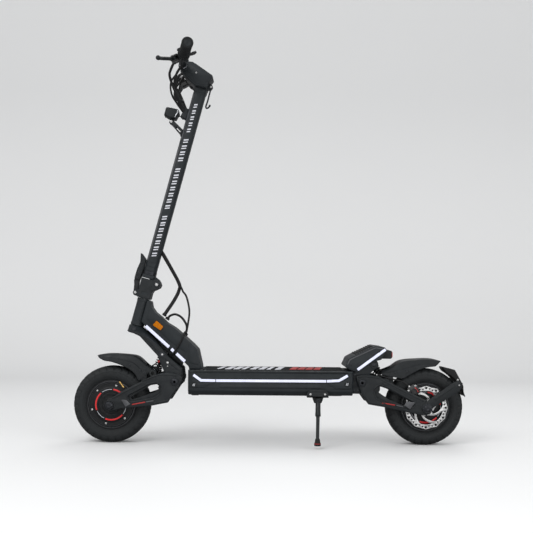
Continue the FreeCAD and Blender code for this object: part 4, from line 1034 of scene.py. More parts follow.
# ====================================================================== fork
FORK_LEG = [(-452.6, 385.2), (-404.1, 376.0), (-321.6, 281.0), (-277.5, 243.5),
            (-275.0, 219.8), (-277.5, 194.2), (-301.5, 171.5), (-327.9, 193.7),
            (-334.6, 232.1), (-347.4, 262.7), (-357.5, 285.3), (-413.7, 345.4),
            (-433.3, 354.8), (-451.3, 359.8)]
# Outline of the dark sheet that stands in for shade in the recess under the neck
FORK_SHADE_SHEET = [(-394, 362), (-396, 369.6), (-319.0, 297.6), (-283.5, 270.2), (-280.0, 262),
            (-280.0, 246.5), (-321.0, 281.6), (-386, 356)]


def under_neck(outline, y=55.5, gap=1.0):
    """Keeps an outline below the cone that the neck clears when the fork turns."""
    out = []
    for x, z in dense(outline, 3):
        for _ in range(90):
            along = (x - STEM_X) * STEM_COS - (z - STEM_Z) * STEM_SIN
            up = (x - STEM_X) * STEM_SIN + (z - STEM_Z) * STEM_COS
            if up <= -136.0 - gap - 0.50 * (hypot(along - STEER_X, y) - 24.0):
                break
            z -= 0.4
        out.append((x, z))
    return out


part = Piece("fork_cheeks")
for side in SIDES:
    cheek = fillet(inset(FORK_LEG, 1.2), [3, 3, 4, 6, 4, 6, 14, 10, 8, 8, 8, 6, 4, 3])
    part.slab(under_neck(cheek), 52.5, 56.4, flank(side), rim=2.2, steps=4)
    upper_rib = strip([(-398, 345.5), (-332, 274.2), (-292, 240.5)], 5.0, 1.6)
    part.slab(under_neck(upper_rib, 57, 2.0), 55.6, 56.75, flank(side), rim=0.8)
    part.slab(strip([(-424, 354.5), (-410, 349.5), (-357, 292), (-346, 268)], 4.0, 1.4),
              55.6, 56.7, flank(side), rim=0.7)
part.done("fork", BLACK, "frame_black")

part = Piece("fork_bolts_bright")
for side in SIDES:
    part.lathe([(-1.0, 8.6), (0.6, 8.6), (1.2, 8.0), (1.2, 0)],
               flank(side, FORK_Y, *FRONT_SHOCK[0]), 40)
    pivot_bolt(part, side, FRONT_PIVOT)
    part.lathe([(-0.6, 6.8), (0.2, 6.8), (0.6, 6.4), (0.6, 4.6), (-0.2, 4.2), (-0.2, 0)],
               flank(side, FORK_Y, -433, 370.5), 36)
    part.lathe([(-0.2, 8.4), (2.0, 8.4), (2.8, 7.6), (2.8, 5.4), (1.6, 5.0), (1.6, 0)],
               stem_flank(side, 24, *FOLD_PIN), 40)
part.rod(24, 5, stem_flank(1, 0, *FOLD_PIN))
part.rod(15, 3, stem_flank(1, 0, *LATCH_PIN), 24)
part.rod(55, 6, flank(1, 0, *FRONT_SHOCK[0]))
part.rod(70, 6, flank(1, 0, *FRONT_PIVOT))
part.done("fork", DARK_STEEL, "steel", "fork_pins")

part = Piece("fork_small_screws")
for side in SIDES:
    x, z = FRONT_SHOCK[0]
    part.bolt(flank(side, 57.3, x, z), 3.1, 1.6)
    part.bolt(flank(side, 56.3, x + 17.5, z - 26.0), 4.0, 2.2)
    part.bolt(flank(side, 56.3, x + 17.5, z - 37.5), 2.0, 1.2)
    part.lathe([(-0.2, 4.9), (0.6, 4.6), (0.9, 3.6), (0.9, 0)],
               stem_flank(side, 25.6, *FOLD_PIN), 32)
    part.bolt(stem_flank(side, 15, *LATCH_PIN), 4.4, 2.2)
part.done("fork", STEEL, "steel")

# Dark sheet between the fork cheeks, just under the neck: painted shade that fills the dark
# recess seen between the neck and the fork legs.
part = Piece("fork_shade_sheet")
part.slab(fillet(FORK_SHADE_SHEET, [2, 2, 3, 3, 4, 2, 3, 2]), -12, 12, flank(), rim=2.0)
part.done("fork", PLASTIC, "frame_black")

# hinge base cheeks with their pin ears
part = Piece("hinge_cheeks")
for side in SIDES:
    cheek = [(-17.5, -42), (24, -42), (24, -22), (28.4, -9), (28.4, 12), (21, 18.4),
             (-17.5, 18.4)]
    part.slab(fillet(cheek, 3.5), 21.2, 23.0, stem_side(side), rim=0.9,
              holes=[fillet(rect(-8, -34, 13, -24), 3)])
    ear = [(20, -16), (33, -9), (45, 2), (46.8, 12), (40, 22.4), (30, 25), (20, 20)]
    part.slab(fillet(inset(ear, -0.2), 3), 12.6, 24.4, stem_side(side), rim=1.6,
              holes=[circle(*FOLD_PIN, 5.2, 28)])
part.done("fork", BLACK, "frame_black")

# ================================================================ latch lever
LATCH = [(-43.7, 19), (-43, 43.3), (-39.2, 68.6), (-45, 95.7), (-40.8, 95.2), (-23.2, 80.8),
         (-22, 48.6), (-23.2, 31.3), (-25.4, 9.2), (-43.2, 9.2)]
LATCH_TONGUE = [(-34.5, -37), (-39, -9.6), (-43.2, 4.1), (-43.4, 14), (-25.2, 14),
                (-25.4, 9.2), (-22.8, -16.8), (-21.5, -33)]
LATCH_PANEL = [(-39.5, 24), (-39, 43), (-35.6, 66), (-27.6, 74), (-26.6, 50), (-28, 26)]

part = Piece("latch_handle")
part.slab(fillet(LATCH_TONGUE, 2.5), -8.5, 8.5, stem_side(), rim=1.6)
part.slab(fillet(LATCH, [3, 8, 8, 3, 2, 6, 8, 8, 4, 3]), -14, 14, stem_side(), rim=3.0, steps=5)
for side in SIDES:
    part.slab(fillet(LATCH_PANEL, 3), 13.2, 14.9, stem_side(side), rim=0.8)
part.done("latch", BLACK, "frame_black", "latch_lever")
part = Piece("latch_screws")
for side in SIDES:
    for x, z in ((-33.2, 16.5), (-34, 34), (-32, 66)):
        part.bolt(stem_flank(side, 14.6, x, z), 2.9, 1.6)
part.done("latch", DARK_STEEL, "steel")

# ====================================================================== stem
# Sections up the column: z, growth of the octagon (grooves where negative)
COLUMN_STATIONS = [(46, -0.9), (47.2, 0), (60, 0), (60.6, -0.7), (61.8, -0.7), (62.4, 0),
                   (648, 0), (648.6, -0.7), (649.8, -0.7), (650.4, 0), (664.4, 0)]
COLLAR_STATIONS = [(33.8, 0.8), (34.6, 0), (38.4, 0), (38.8, 0.6), (39.8, 0.6), (40.2, 0),
                   (45.6, 0), (46.4, 0.8)]      # z, inset


def octagon(half_x, half_y, cut):
    return [(-half_x + cut, -half_y), (half_x - cut, -half_y), (half_x, -half_y + cut),
            (half_x, half_y - cut), (half_x - cut, half_y), (-half_x + cut, half_y),
            (-half_x, half_y - cut), (-half_x, -half_y + cut)]


part = Piece("stem_column")
part.loft([[stem_point(x, y, z) for x, y in fillet(octagon(20 + grow, 19.5 + grow, 8), 3.0, 3)]
           for z, grow in COLUMN_STATIONS])
part.slab(fillet([(-20.5, 22), (15, 22), (20.5, 30), (20.5, 34), (-20.5, 34)],
                 [2, 2, 2, 0.5, 0.5]), -20, 20, stem_side(), rim=1.6)
part.slab(fillet([(4, 22), (24.4, 2.6), (44, 16), (38, 26), (20.5, 34), (4, 34)], 1.5),
          -11.4, 11.4, stem_side(), rim=0.8)
part.lathe([(-11.5, 5.1), (-11.5, 11.8), (-10.8, 12.5), (10.8, 12.5), (11.5, 11.8),
            (11.5, 5.1)], stem_flank(1, 0, *FOLD_PIN), 40, loop=True)
for side in SIDES:
    for z0, z1 in ((74, 470), (478, 640)):
        part.slab(fillet(rect(-10.6, z0, 10.6, z1), 3), 19.0, 20.1, stem_side(side), rim=0.5,
                  steps=2)
part.done("stem", CHARCOAL, "cast_charcoal", "stem_tube")

part = Piece("stem_collar")
collar = fillet(octagon(21.0, 20.6, 7.6), 3, 3)
part.loft([[stem_point(x, y, z) for x, y in (inset(collar, d) if d else collar)]
           for z, d in COLLAR_STATIONS])
part.done("stem", DARK_STEEL, "alu")

part = Piece("stem_print")
for side in SIDES:
    z = 94.0
    for i in range(23):
        half = 7.4 if i < 18 else 5.4
        for dz, height in ((0, 3.6), (7.6, 4.4)):
            part.slab([(-half, z + dz), (half, z + dz + half * 0.7),
                       (half, z + dz + height + half * 0.7), (-half, z + dz + height)],
                      19.9, 20.5, stem_side(side), rim=0.15, steps=1)
        z += 20.6 + (16 if i in (6, 13, 17) else 0)
part.done("stem", PALE, "alu")

# Lighter grey strips along the stem's front corner facets: painted highlight where those facets
# catch the light.
part = Piece("stem_facet_highlight")
for side in SIDES:
    for z0, z1 in ((78, 470), (486, 640)):
        front, back = Vector((-20, side * 11.5)), Vector((-12, side * 19.5))
        normal = Vector((-(back - front).y, (back - front).x)).normalized()
        if normal.x > 0:
            normal = -normal
        a, b = front.lerp(back, 0.22), front.lerp(back, 0.78)

        def facet_ring(z, taper):
            near, far = a.lerp(b, taper), b.lerp(a, taper)
            return [stem_point(*(q + normal * height), z)
                    for q, height in ((near, -0.4), (far, -0.4), (far, 0.35), (near, 0.35))]
        part.loft([facet_ring(z0, 0.2), facet_ring(z0 + 3, 0), facet_ring(z1 - 3, 0),
                   facet_ring(z1, 0.2)])
part.done("stem", GREY, "cast_charcoal")

# ------------------------------------------------------------- head, display
HEAD = [(-78, 728), (-72.7, 732), (-44.3, 736), (32, 708.5), (21.7, 683.9), (20.5, 664),
        (-20.5, 664), (-60.7, 686.2), (-80, 708)]
HEAD_PANEL = [(-70, 712), (-62, 694), (-20, 672), (12, 672), (18, 690), (24, 706), (-44, 730),
              (-66, 726)]
part = Piece("bar_clamp_head")
part.slab(fillet(HEAD, [4, 4, 4, 5, 4, 2, 2, 8, 6]), -34, 34, stem_side(), rim=3.5, steps=5)
for side in SIDES:
    part.lathe([(30, BAR_BORE), (30, 16.5), (34.8, 16.5), (36, 15.3), (36, BAR_BORE)],
               flank(side, 0, BAR_X, BAR_Z), loop=True)
for side in SIDES:
    part.slab(fillet([(18, 664), (34, 672), (36.5, 680), (32, 686), (18, 690)], 3), 4.6, 9,
              stem_side(side), rim=1.0)
    part.slab(fillet(HEAD_PANEL, 4), 33, 34.8, stem_side(side), rim=0.8)
part.done("stem", CHARCOAL, "cast_charcoal", "stem_head")
part = Piece("clamp_screws")
for side in SIDES:
    part.bolt(stem_flank(side, 34.6, -24, 704), 2.6, 1.6)
    part.bolt(stem_flank(side, 9, *HOOK_PIN), 3.6, 1.8)
part.done("stem", STEEL, "steel")

# The display lies on the head's sloping top edge, whose direction this is
TOP_X, TOP_Z = (32 + 44.3) / 81.1, (708.5 - 736) / 81.1
TOP_NORMAL = Vector((-TOP_Z, TOP_X))


def display(u, v, w):
    """u back down the slope, v across, w out of it."""
    return stem_point(-44.3 + TOP_X * u + TOP_NORMAL.x * w, v,
                      736 + TOP_Z * u + TOP_NORMAL.y * w)


part = Piece("display_panel")
part.slab(fillet(rect(6, -29.5, 76, 29.5), 5), -3, 1.4, display, rim=1.2)
part.done("stem", GLASS, "display", "display_unit")
part = Piece("display_digits")
WIDE, TALL, STROKE, DIGIT_U = 9, 17, 1.6, 24
for y in (-12, 4):
    for v0, u0, v1, u1 in ((0, 0, WIDE, STROKE), (0, 0, STROKE, TALL),
                           (WIDE - STROKE, 0, WIDE, TALL), (0, TALL - STROKE, WIDE, TALL)):
        part.slab(rect(DIGIT_U + u0, y + v0, DIGIT_U + u1, y + v1), 1.3, 1.55, display,
                  rim=0.1, steps=1)
for i in range(6):
    part.slab(rect(56, -18 + i * 6, 60, -14 + i * 6), 1.3, 1.55, display, rim=0.1, steps=1)
part.done("stem", DIGITS, "display")

# fold hook: round boss with a bent wire
part = Piece("fold_hook_wire")
part.lathe([(-4.1, 3.1), (-4.1, 6.2), (4.1, 6.2), (4.1, 3.1)], stem_flank(1, 0, *HOOK_PIN), 32,
           loop=True)
part.tube([stem_point(x, 0, z) for x, z in
           ((30.4, 674), (30.8, 655), (31, 630), (30.2, 615), (33.5, 609.5), (39, 612.4),
            (41.5, 619))], 2.6, 14)
part.ball(axis(stem_point(41.8, 0, 620), (0, 0, 1)), 3.6)
part.done("hook", DARK_STEEL, "alu", "fold_hook")

# ================================================================== handlebar
part = Piece("handlebar_tube")
left = [tuple(BAR_END), tuple(BAR_KINK + BAR_OUT * 14),
        tuple(BAR_KINK + BAR_OUT * 5 + Vector((-0.6, 2.4, 0.3))), (-282.6, -80, BAR_Z)]
right = [(x, -y, z) for x, y, z in left[::-1]]
part.tube(left + [(BAR_X, 0, BAR_Z)] + right, 11.4, 32, sub=6)
part.done("stem", BLACK, "frame_black", "handlebar")
part = Piece("bar_clamp_marks")
for side in SIDES:
    for y in (40, 44, 48):
        part.lathe([(y, 11.2), (y, 11.65), (y + 1, 11.65), (y + 1, 11.2)],
                   flank(side, 0, BAR_X, BAR_Z), 40, loop=True)
part.done("stem", PALE, "alu")

part = Piece("grips")
for side in SIDES:
    profile = [(96, BAR_BORE), (96, 18.2), (97, 19), (101, 19), (102.4, 18.2), (103.4, 16.6)]
    rib = 105.0
    while rib < BAR_LENGTH - 12:
        profile += [(rib, 16.2), (rib + 0.8, 17.0), (rib + 2.9, 17.0), (rib + 3.7, 16.2)]
        rib += 4.4
    profile += [(BAR_LENGTH + dw, r) for dw, r in
                ((-8, 16.4), (-7, 17.6), (-1.2, 17.6), (0.6, 16.8), (1.7, 14.8), (1.9, 12.5),
                 (1.2, 12.0), (1.2, 0))]
    part.lathe(profile, around_bar(side), 56)
part.done("stem", GRIP, "soft_rubber", "handlebar_grips", sharp=40)
part = Piece("grip_rings")
for side in SIDES:
    part.lathe([(BAR_LENGTH + dw, r) for dw, r in
                ((0.6, 0), (1.2, 11.6), (1.9, 11), (1.9, 8.6), (1.6, 8.0), (1.6, 3.2),
                 (0.9, 0))], around_bar(side))
    part.lathe([(96.4, 19.0), (96.4, 19.6), (100.4, 19.6), (100.4, 19.0)], around_bar(side), 56,
               loop=True)
part.done("stem", BLACK, "alu")

# brake perches and levers
LEVER_PIVOT = (30, 66)      # forward, outward
PERCH_EAR = [(9, 53), (38, 53), (40, 58), (40, 74.2), (21, 74.2), (9, 66)]
LEVER = [(30, 58.5), (42, 62), (52, 84), (72, 112), (88, 138), (93, 150), (86, 155),
         (77, 141), (62, 118), (44, 92), (36, 76), (24, 70)]
LEVER_RIDGE = [(46, 84), (52, 92), (66, 112), (76, 128), (72, 128), (60, 112), (48, 93),
               (43, 86)]
part = Piece("master_cylinders")
for side in SIDES:
    part.lathe([(56.5, BAR_BORE), (56.5, 15.2), (57.4, 16), (70.8, 16), (71.6, 15.2),
                (71.6, BAR_BORE)], around_bar(side), loop=True)
    for low, high in ((4.7, 9), (-9, -4.7)):
        part.slab(fillet(PERCH_EAR, 3), low, high, on_bar(side), rim=1.4)
    part.slab(fillet(rect(9, 53, 24, 60), 2), -6, 6, on_bar(side), rim=0.6)
    part.slab(fillet(rect(14.2, 17, 35.8, 60), 5), -7, 12, on_bar(side), rim=2.6, steps=4)
    part.slab(fillet(rect(13.4, 19, 36.6, 54), 5), 11.6, 15.0, on_bar(side), rim=1.6, steps=4)
    part.lathe([(2.0, 4.6), (2.0, 7.2), (3, 8), (17.5, 8), (18, 7)], around_bar(side, 25, 3), 32)
    part.lathe([(-9.6, 4.4), (-9.6, 6.6), (9.6, 6.6), (9.6, 4.4)],
               on_bar(side, *LEVER_PIVOT), 32)
part.done("stem", GLOSS, "plastic_black", "brake_master_cylinders")
part = Piece("master_cylinder_screws")
for side in SIDES:
    for forward, out in ((17.5, 23), (32.5, 23), (17.5, 50), (32.5, 50)):
        part.bolt(on_bar(side, forward, out, 15.0), 2.0, 1.2)
    part.bolt(on_bar(side, *LEVER_PIVOT, 9.4), 3.6, 1.6)
part.done("stem", STEEL, "steel")
for side, hand in ((-1, "left"), (1, "right")):
    part = Piece("lever_blade_" + hand)
    part.slab(fillet(LEVER, 4), -4.2, 4.2, on_bar(side), rim=2.4, steps=5)
    part.lathe([(-4, 3.3), (-4, 7.6), (4, 7.6), (4, 3.3)], on_bar(side, *LEVER_PIVOT), 32,
               loop=True)
    part.ball(around_bar(side, 89, 0, 154), 7.2, 28, rows=14)
    part.slab(fillet(LEVER_RIDGE, 1.5), 3.6, 4.7, on_bar(side), rim=0.5)
    part.done(hand + "_brake_lever", BLACK, "frame_black", "brake_lever_" + hand)

# thumb throttle (left) and switch pod (right)
part = Piece("throttle_and_switch_housings")
part.lathe([(75, BAR_BORE), (75, 18.5), (76, 19.5), (83, 19.5), (83.9, 18.6),
            (83.9, BAR_BORE)], around_bar(-1), 56, loop=True)
part.slab(fillet([(-8, -24), (8, -24), (6, -13), (-6, -13)], 2), 75.2, 83.8, around_bar(-1),
          rim=1.2)
part.slab(fillet([(-6, 15), (10, 12), (16, 16), (14, 22), (-4, 22.4)], 3), 75.4, 83.6,
          around_bar(-1), rim=1.2)
part.lathe([(75, BAR_BORE), (75, 18), (76, 19), (93, 19), (94, 18), (94, BAR_BORE)],
           around_bar(1), 56, loop=True)
part.slab(fillet(rect(-27, -11, -11, 13), 3), 75.2, 93.8, around_bar(1), rim=1.4)
part.done("stem", PLASTIC, "plastic_black", "bar_control_housings")
part = Piece("throttle_paddle")
part.lathe([(84.4, 12.2), (84.4, 17.2), (85.2, 18), (93.8, 18), (94.6, 17.2), (94.6, 12.2)],
           around_bar(-1), 56, loop=True)
part.slab(fillet([(-15, -13.5), (-30, -14), (-37, -11.5), (-37.5, -7.5), (-31, -5),
                  (-15, -5.5)], 3), 84.5, 94.5, around_bar(-1), rim=2.0, steps=4)
for i in range(4):
    part.slab(fillet(rect(-35.5 + i * 3.6, -6.2, -34.1 + i * 3.6, -4.2), 0.5, 2), 85.6, 93.4,
              around_bar(-1), rim=0.5, steps=2)
part.done("throttle", GLOSS, "plastic_black", "throttle_lever")


def button(name, body, out, up, material):
    """Cap on the switch pod, facing back."""
    part = Piece(name + "_cap")
    part.lathe([(0, 3.45), (5.6, 3.45), (6.6, 3.1), (7.0, 2.2), (6.7, 1.4), (6.6, 0)],
               lambda u, v, w: bar_point(-22 - w, out + u, up + v, 1), 28)
    part.done(body, material, "plastic_black", name)


button("light_button", "light_switch", out=79.8, up=7.0, material=GREY)
button("horn_button", "horn_switch", out=88.6, up=-4.0, material=RED)

# hoses: the two brake lines plus the looser lines that leave the bar with them
BRAKE_LINE = [bar_point(25, 1.4, 3), (-316, -87, 1198), (-323, -76, 1178), (-314, -56, 1148),
              (-298, -33, 1113), (-283, -11.5, 1082), (-278.5, -5, 1064)]
# start y, start z, start x, forward bow, radius
LOOM_LINES = [(-62, 1208, -290, -20, 3.4), (-52, 1206, -292, -30, 3.0),
              (-44, 1208, -294, -12, 3.6), (50, 1206, -292, -26, 3.2),
              (60, 1208, -290, -16, 3.0)]
part = Piece("hose_bundle")
for side in SIDES:
    part.tube([(x, side * abs(y), z) for x, y, z in BRAKE_LINE], 4.2, 14, sub=10)
for i, (y, z, x, bow, radius) in enumerate(LOOM_LINES):
    part.tube([(-284, y, 1213), (x, y, z), (x - 10, y * 1.02, z - 16),
               (x + bow, y * 0.9, z - 44), (x + bow * 0.9, y * 0.55, z - 82),
               (-287.0 + bow * 0.10, y * 0.26, z - 122),
               (-279.5 + 1.2 * i, y * 0.12, 1071 - 2 * i)], radius, 12, sub=10)
part.done("stem", HOSE, "soft_rubber", "brake_hoses")
part = Piece("loom_sleeve")
part.tube([(-287, 0, 1205), (-301, 0, 1197), (-310, 0, 1178), (-311, 0, 1164),
           (-308.5, 0, 1151)], 4.2, 14, sub=10)
part.tube([(-309.5, 0, 1154), (-302.5, 0, 1137), (-294.5, 0, 1119), (-286.5, 0, 1100),
           (-279.8, 0, 1083), (-276.8, 0, 1073)], 8.4, 20, sub=10,
          swell=lambda t, i: min(1.0, 0.5 + 6 * t) + 0.035 * (i % 2))
part.done("stem", HOSE, "soft_rubber")


def loom_tie(part, centre, direction, radius, stretch):
    """Flattened band round the loom."""
    base = axis(centre, direction)
    part.lathe([(-3, radius - 1.2), (-3, radius), (3, radius), (3, radius - 1.2)],
               lambda u, v, w: base(u * stretch, v * 0.62, w), 40, loop=True)


part = Piece("loom_ties")
loom_tie(part, (-291.5, 0, 1110), (13, 0, -32), radius=15.5, stretch=1.9)
loom_tie(part, (-281.5, 0, 1087), (12, 0, -30), radius=9.9, stretch=1.5)
part.done("stem", PLASTIC, "plastic_black")
part = Piece("stem_cable_boss")
part.slab(fillet([(-40, 560), (-19, 552), (-19, 592), (-34, 586)], 4), -13, 13, stem_side(),
          rim=3, steps=4)
part.done("stem", PLASTIC, "plastic_black")

# ================================================================== headlight
HEADLIGHT = [(-88.5, 574.9), (-50.4, 577.3), (-46.9, 569.2), (-52.7, 546), (-71.7, 543.5),
             (-87, 547)]
part = Piece("headlight_arm")
for side in SIDES:
    part.slab(fillet([(-20, 499), (-20, 519), (-59, 541), (-70, 540), (-71, 530), (-60, 526)],
                     4), 7.3, 12, stem_side(side), rim=1.2,
              holes=[fillet([(-26, 508), (-26, 514), (-44, 524), (-44, 519)], 2)])
part.slab(fillet(rect(-14, 498, 14, 520), 3), -24, -20, stem_front, rim=1.0)
part.rod(12, 3, stem_flank(1, 0, *LIGHT_PIN), 24)
part.done("stem", BLACK, "frame_black", "headlight_bracket")
part = Piece("headlight_arm_screws")
for side in SIDES:
    part.bolt(stem_flank(side, 12, *LIGHT_PIN), 4.6, 2.4)
    for z in (503.5, 514.5):
        start = Vector(stem_point(-24, side * 8, z))
        ahead = Vector(stem_point(-24 - 1, side * 8, z))
        part.bolt(axis(start, ahead - start), 2.4, 1.4)
part.done("stem", STEEL, "steel")
part = Piece("headlight_shell")
part.slab(fillet(HEADLIGHT, [4, 4, 4, 5, 4, 4]), -25, 25, stem_side(), rim=4, steps=5)
part.slab(fillet([(-69.5, 536), (-58.5, 536), (-57.5, 548), (-70.5, 548)], 3), -6.8, 6.8,
          stem_side(), rim=1.2)
for i in range(5):
    x = -74 + i * 5.0
    part.slab(fillet(rect(x - 1, 572, x + 1, 577.2), 0.5, 2), -21, 21, stem_side(), rim=0.8,
              steps=2)
part.slab(fillet(rect(-22.5, 546.5, 22.5, 574.5), 6), -90.6, -87, stem_front, rim=1.0,
          holes=[fillet(rect(-19.6, 549.4, 19.6, 571.6), 5)], steps=2)
part.done("headlight", PLASTIC, "plastic_black", "headlight_housing")
part = Piece("headlight_glass")
part.slab(fillet(rect(-19.8, 549.2, 19.8, 571.8), 5), -91.4, -87.6, stem_front, rim=1.4, steps=4)
part.done("headlight", CLEAR_LENS, "clear_lens", "headlight_lens")
part = Piece("headlight_rear_bezel")
for side in SIDES:
    part.slab(strip([(-52.5, 574.6), (-49.4, 568.4), (-54.4, 549)], 2.6, 0.8), 24.2, 25.6,
              stem_side(side), rim=0.5, steps=2)
part.slab(fillet([(-47.6, 568.2), (-46.4, 569.0), (-50.0, 576.6), (-51.6, 576.4)], 0.4, 2),
          -22, 22, stem_side(), rim=0.4, steps=2)
part.done("headlight", ALU, "alu")
part = Piece("headlight_lead")
part.tube([stem_point(*q) for q in ((-49, 6, 560), (-42, 7, 562), (-33, 8, 556),
                                    (-25, 7, 560), (-20.5, 5, 568))], 1.6, 10)
part.done("stem", HOSE, "soft_rubber")

# ================================================================== cables
part = Piece("stem_cable_cover")
part.tube([(-352.5, 0, 619.5), (-344.6, 0, 606.5), (-322.1, 0, 568.4), (-300.3, 0, 529.8),
           (-291.9, 0, 508.5), (-293.4, 0, 499.5)], 5.6, 16, sub=12,
          swell=lambda t, i: 1.0 + 0.06 * (i % 2))
part.tube([(-349.5, -5, 621.5), (-341.2, -5, 608.5), (-319.5, -8, 571), (-297.4, -8.5, 531),
           (-288.4, -8, 508), (-284.4, -8, 500)], 3.0, 12, sub=10)
ob = part.done(None, HOSE, "soft_rubber")
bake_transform(ob)
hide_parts("stem_cable_sleeve")
part = Piece("neck_cable_runs")
part.tube([(-293.4, 1, 500.2), (-295.4, 2.5, 494), (-300.0, 3, 482), (-314.3, 2, 456.2),
           (-331, 1, 431), (-341.5, 0, 415.5)], 5.6, 16, sub=12,
          swell=lambda t, i: 0.86 + 0.14 * min(1.0, t * 5) + 0.05 * (i % 2))
part.tube([(-284.5, -8.2, 500.2), (-280.4, -9.6, 491), (-268.5, -12, 473), (-259.1, -14, 430),
           (-262.5, -14, 390), (-269.4, -12, 353)], 3.2, 12, sub=10)
ob = part.done(None, HOSE, "soft_rubber")
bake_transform(ob)
part = Piece("neck_cable_loop")
part.tube([(-332.5, 12, 402.5), (-324, 12, 412), (-306.4, 12, 416.7), (-286.6, 11, 406.8),
           (-271.5, 9, 385.6), (-268.6, 7, 369), (-272.5, 5, 354.5)], 3.8, 14, sub=10)
for centre in ((-341.5, 0, 415.5), (-332.5, 12, 403), (-270, -12, 353), (-272.8, 5, 354)):
    part.lathe([(-4, 4), (-4, 7.4), (2.6, 7.0), (4.0, 5.8), (4.0, 3)],
               axis(centre, (0.55, 0, 0.83)), 28, loop=True)
part.done("chassis", HOSE, "soft_rubber", "neck_cable_loops")
# lead over the left flank of the neck, crossing the light strip at its gap
part = Piece("neck_flank_cable")
part.tube([(-270, -13, 352), (-268, -26, 360.5), (-269.5, -43, 361), (-274.5, -53.4, 350),
           (-281, -52.6, 332), (-291, -51.4, 315), (-304, -49.6, 295.5), (-309.5, -46, 288.5),
           (-312, -41, 285)], 2.6, 12, sub=10)
part.done("chassis", HOSE, "soft_rubber")

# =============================================================== suspension
FRONT_ARM = [(-340.2, 229.2), (-314.4, 230.4), (-288.3, 226.5), (-277, 221.5), (-274.4, 216),
             (-274.6, 206), (-319.9, 135.2), (-370.2, 125.2), (-473.6, 114), (-507, 104),
             (-522, 112), (-524, 132), (-512, 143), (-496.2, 151.5), (-468, 169.9),
             (-369.1, 221.7)]
FRONT_WINDOW = [(-449.7, 153.8), (-380.9, 191.6), (-356.1, 196.6), (-343.3, 185.6),
                (-347.9, 164.2), (-367.2, 151), (-439.4, 137.6)]
FRONT_INNER = [(-440, 150.5), (-376, 189.5), (-357, 193.0), (-350.5, 188), (-353.5, 183),
               (-350.5, 177), (-354, 172.5), (-370, 165), (-436, 143)]
FRONT_RIBS = [[(-402, 203.6), (-352, 223.4), (-316, 224.4), (-292, 221.2)],
              [(-365, 131.8), (-322, 141.8), (-286, 194)],
              [(-498, 146.6), (-466, 164.2), (-404, 197.4)]]
REAR_ARM = [(278.0, 225.7), (282.5, 209.2), (298.8, 163.5), (319.7, 134.7), (371.4, 126.2),
            (447.6, 110), (493.6, 101.2), (519.0, 106.0), (522.0, 120), (518, 138),
            (508.5, 144.9), (490.9, 155.6), (379.6, 210.1), (352.4, 225.1), (307.1, 230.8)]
REAR_WINDOW = [(355.2, 194.6), (376.9, 187.7), (470.3, 138.2), (451.4, 119), (384.4, 135.9),
               (346, 156.3), (339.4, 181.7)]
REAR_INNER = [(357.5, 192), (376.9, 185.6), (464, 139.5), (452, 123.5), (386, 150),
              (362, 167), (352.5, 170.5), (357.5, 181)]
REAR_RIBS = [[(402, 193), (352, 219.4), (308, 225), (286, 221)],
             [(372, 132.4), (324, 141.0), (304, 170), (290, 208)],
             [(496, 147), (470, 160), (402, 193.6)]]


def swingarm(end, outline, window, inner, ribs, pivot, eye, tie, axle):
    """Pair of arm plates joined by a rod at the shock eye and a tie rod."""
    part = Piece(end + "_swingarm_cast")
    opening = fillet(window, 6)
    for side in SIDES:
        part.slab(fillet(outline, 5), ARM_IN, ARM_OUT, flank(side), rim=2.6, steps=5,
                  holes=[opening, circle(*axle, 8.2, 32), circle(*pivot, 6.2, 32)])
        for line in ribs:
            part.slab(strip(line, 4.4, 1.4), 69.2, 71.1, flank(side), rim=0.9)
        border = inset(opening, -2.2)
        part.slab(inset(border, -3.4), 69.2, 70.9, flank(side), rim=0.7, holes=[border])
        part.slab(inset(opening, -3.0), 57.4, 61.0, flank(side), rim=0.6,
                  holes=[fillet(inner, 1.5)])
        part.lathe([(56.8, 5.8), (56.8, 11.5), (69.4, 11.5), (70.8, 10.4), (70.8, 5.8)],
                   flank(side, 0, *eye), 40, loop=True)
        part.lathe([(-1, 13.2), (0.9, 13.2), (1.6, 12.4), (1.6, 11.4), (-1, 11.4)],
                   flank(side, ARM_OUT, *pivot), loop=True)
        part.lathe([(68.8, 8.4), (68.8, 17.2), (71, 17.2), (71.8, 16.2), (71.8, 13.6),
                    (70.4, 13.0), (70.4, 8.4)], flank(side, 0, *axle), loop=True)
    part.rod(57.2, 8, flank(1, 0, *eye), 32)
    part.rod(57.2, 9, flank(1, 0, *tie), 32)
    part.done(end + "_arm", BLACK, "frame_black", end + "_swingarm")


swingarm("front", FRONT_ARM, FRONT_WINDOW, FRONT_INNER, FRONT_RIBS, FRONT_PIVOT,
         eye=FRONT_SHOCK[1], tie=(-340, 152), axle=FRONT_AXLE)
swingarm("rear", REAR_ARM, REAR_WINDOW, REAR_INNER, REAR_RIBS, REAR_PIVOT,
         eye=REAR_SHOCK[1], tie=(338, 150), axle=REAR_AXLE)


def arm_marks(end, block, grey_line, red_line):
    """Grey block and stripe, and a red stripe, on each arm's outer face."""
    part = Piece(end + "_arm_marks_grey")
    for side in SIDES:
        part.slab(fillet(block, 1.5), 69.6, 71.5, flank(side), rim=0.5, steps=2)
        part.slab(band(grey_line, 3.4), 69.6, 70.8, flank(side), rim=0.2, steps=1)
    part.done(end + "_arm", GREY, "cast_charcoal")
    part = Piece(end + "_arm_marks_red")
    for side in SIDES:
        part.slab(band(red_line, 3.2), 69.6, 70.8, flank(side), rim=0.2, steps=1)
    part.done(end + "_arm", RED, "frame_black")


arm_marks("front", [(-469.3, 143.8), (-452.6, 142.6), (-439.0, 129.8), (-455.2, 120.6)],
          grey_line=[(-389.5, 137.2), (-366, 141.0)],
          red_line=[(-434.5, 128.2), (-392.5, 136.4)])
arm_marks("rear", [(434, 133.6), (441.6, 146.2), (469, 142.6), (452, 120.2)],
          grey_line=[(409, 132.8), (430.4, 128.6)],
          red_line=[(363, 140.4), (404.5, 133.4)])


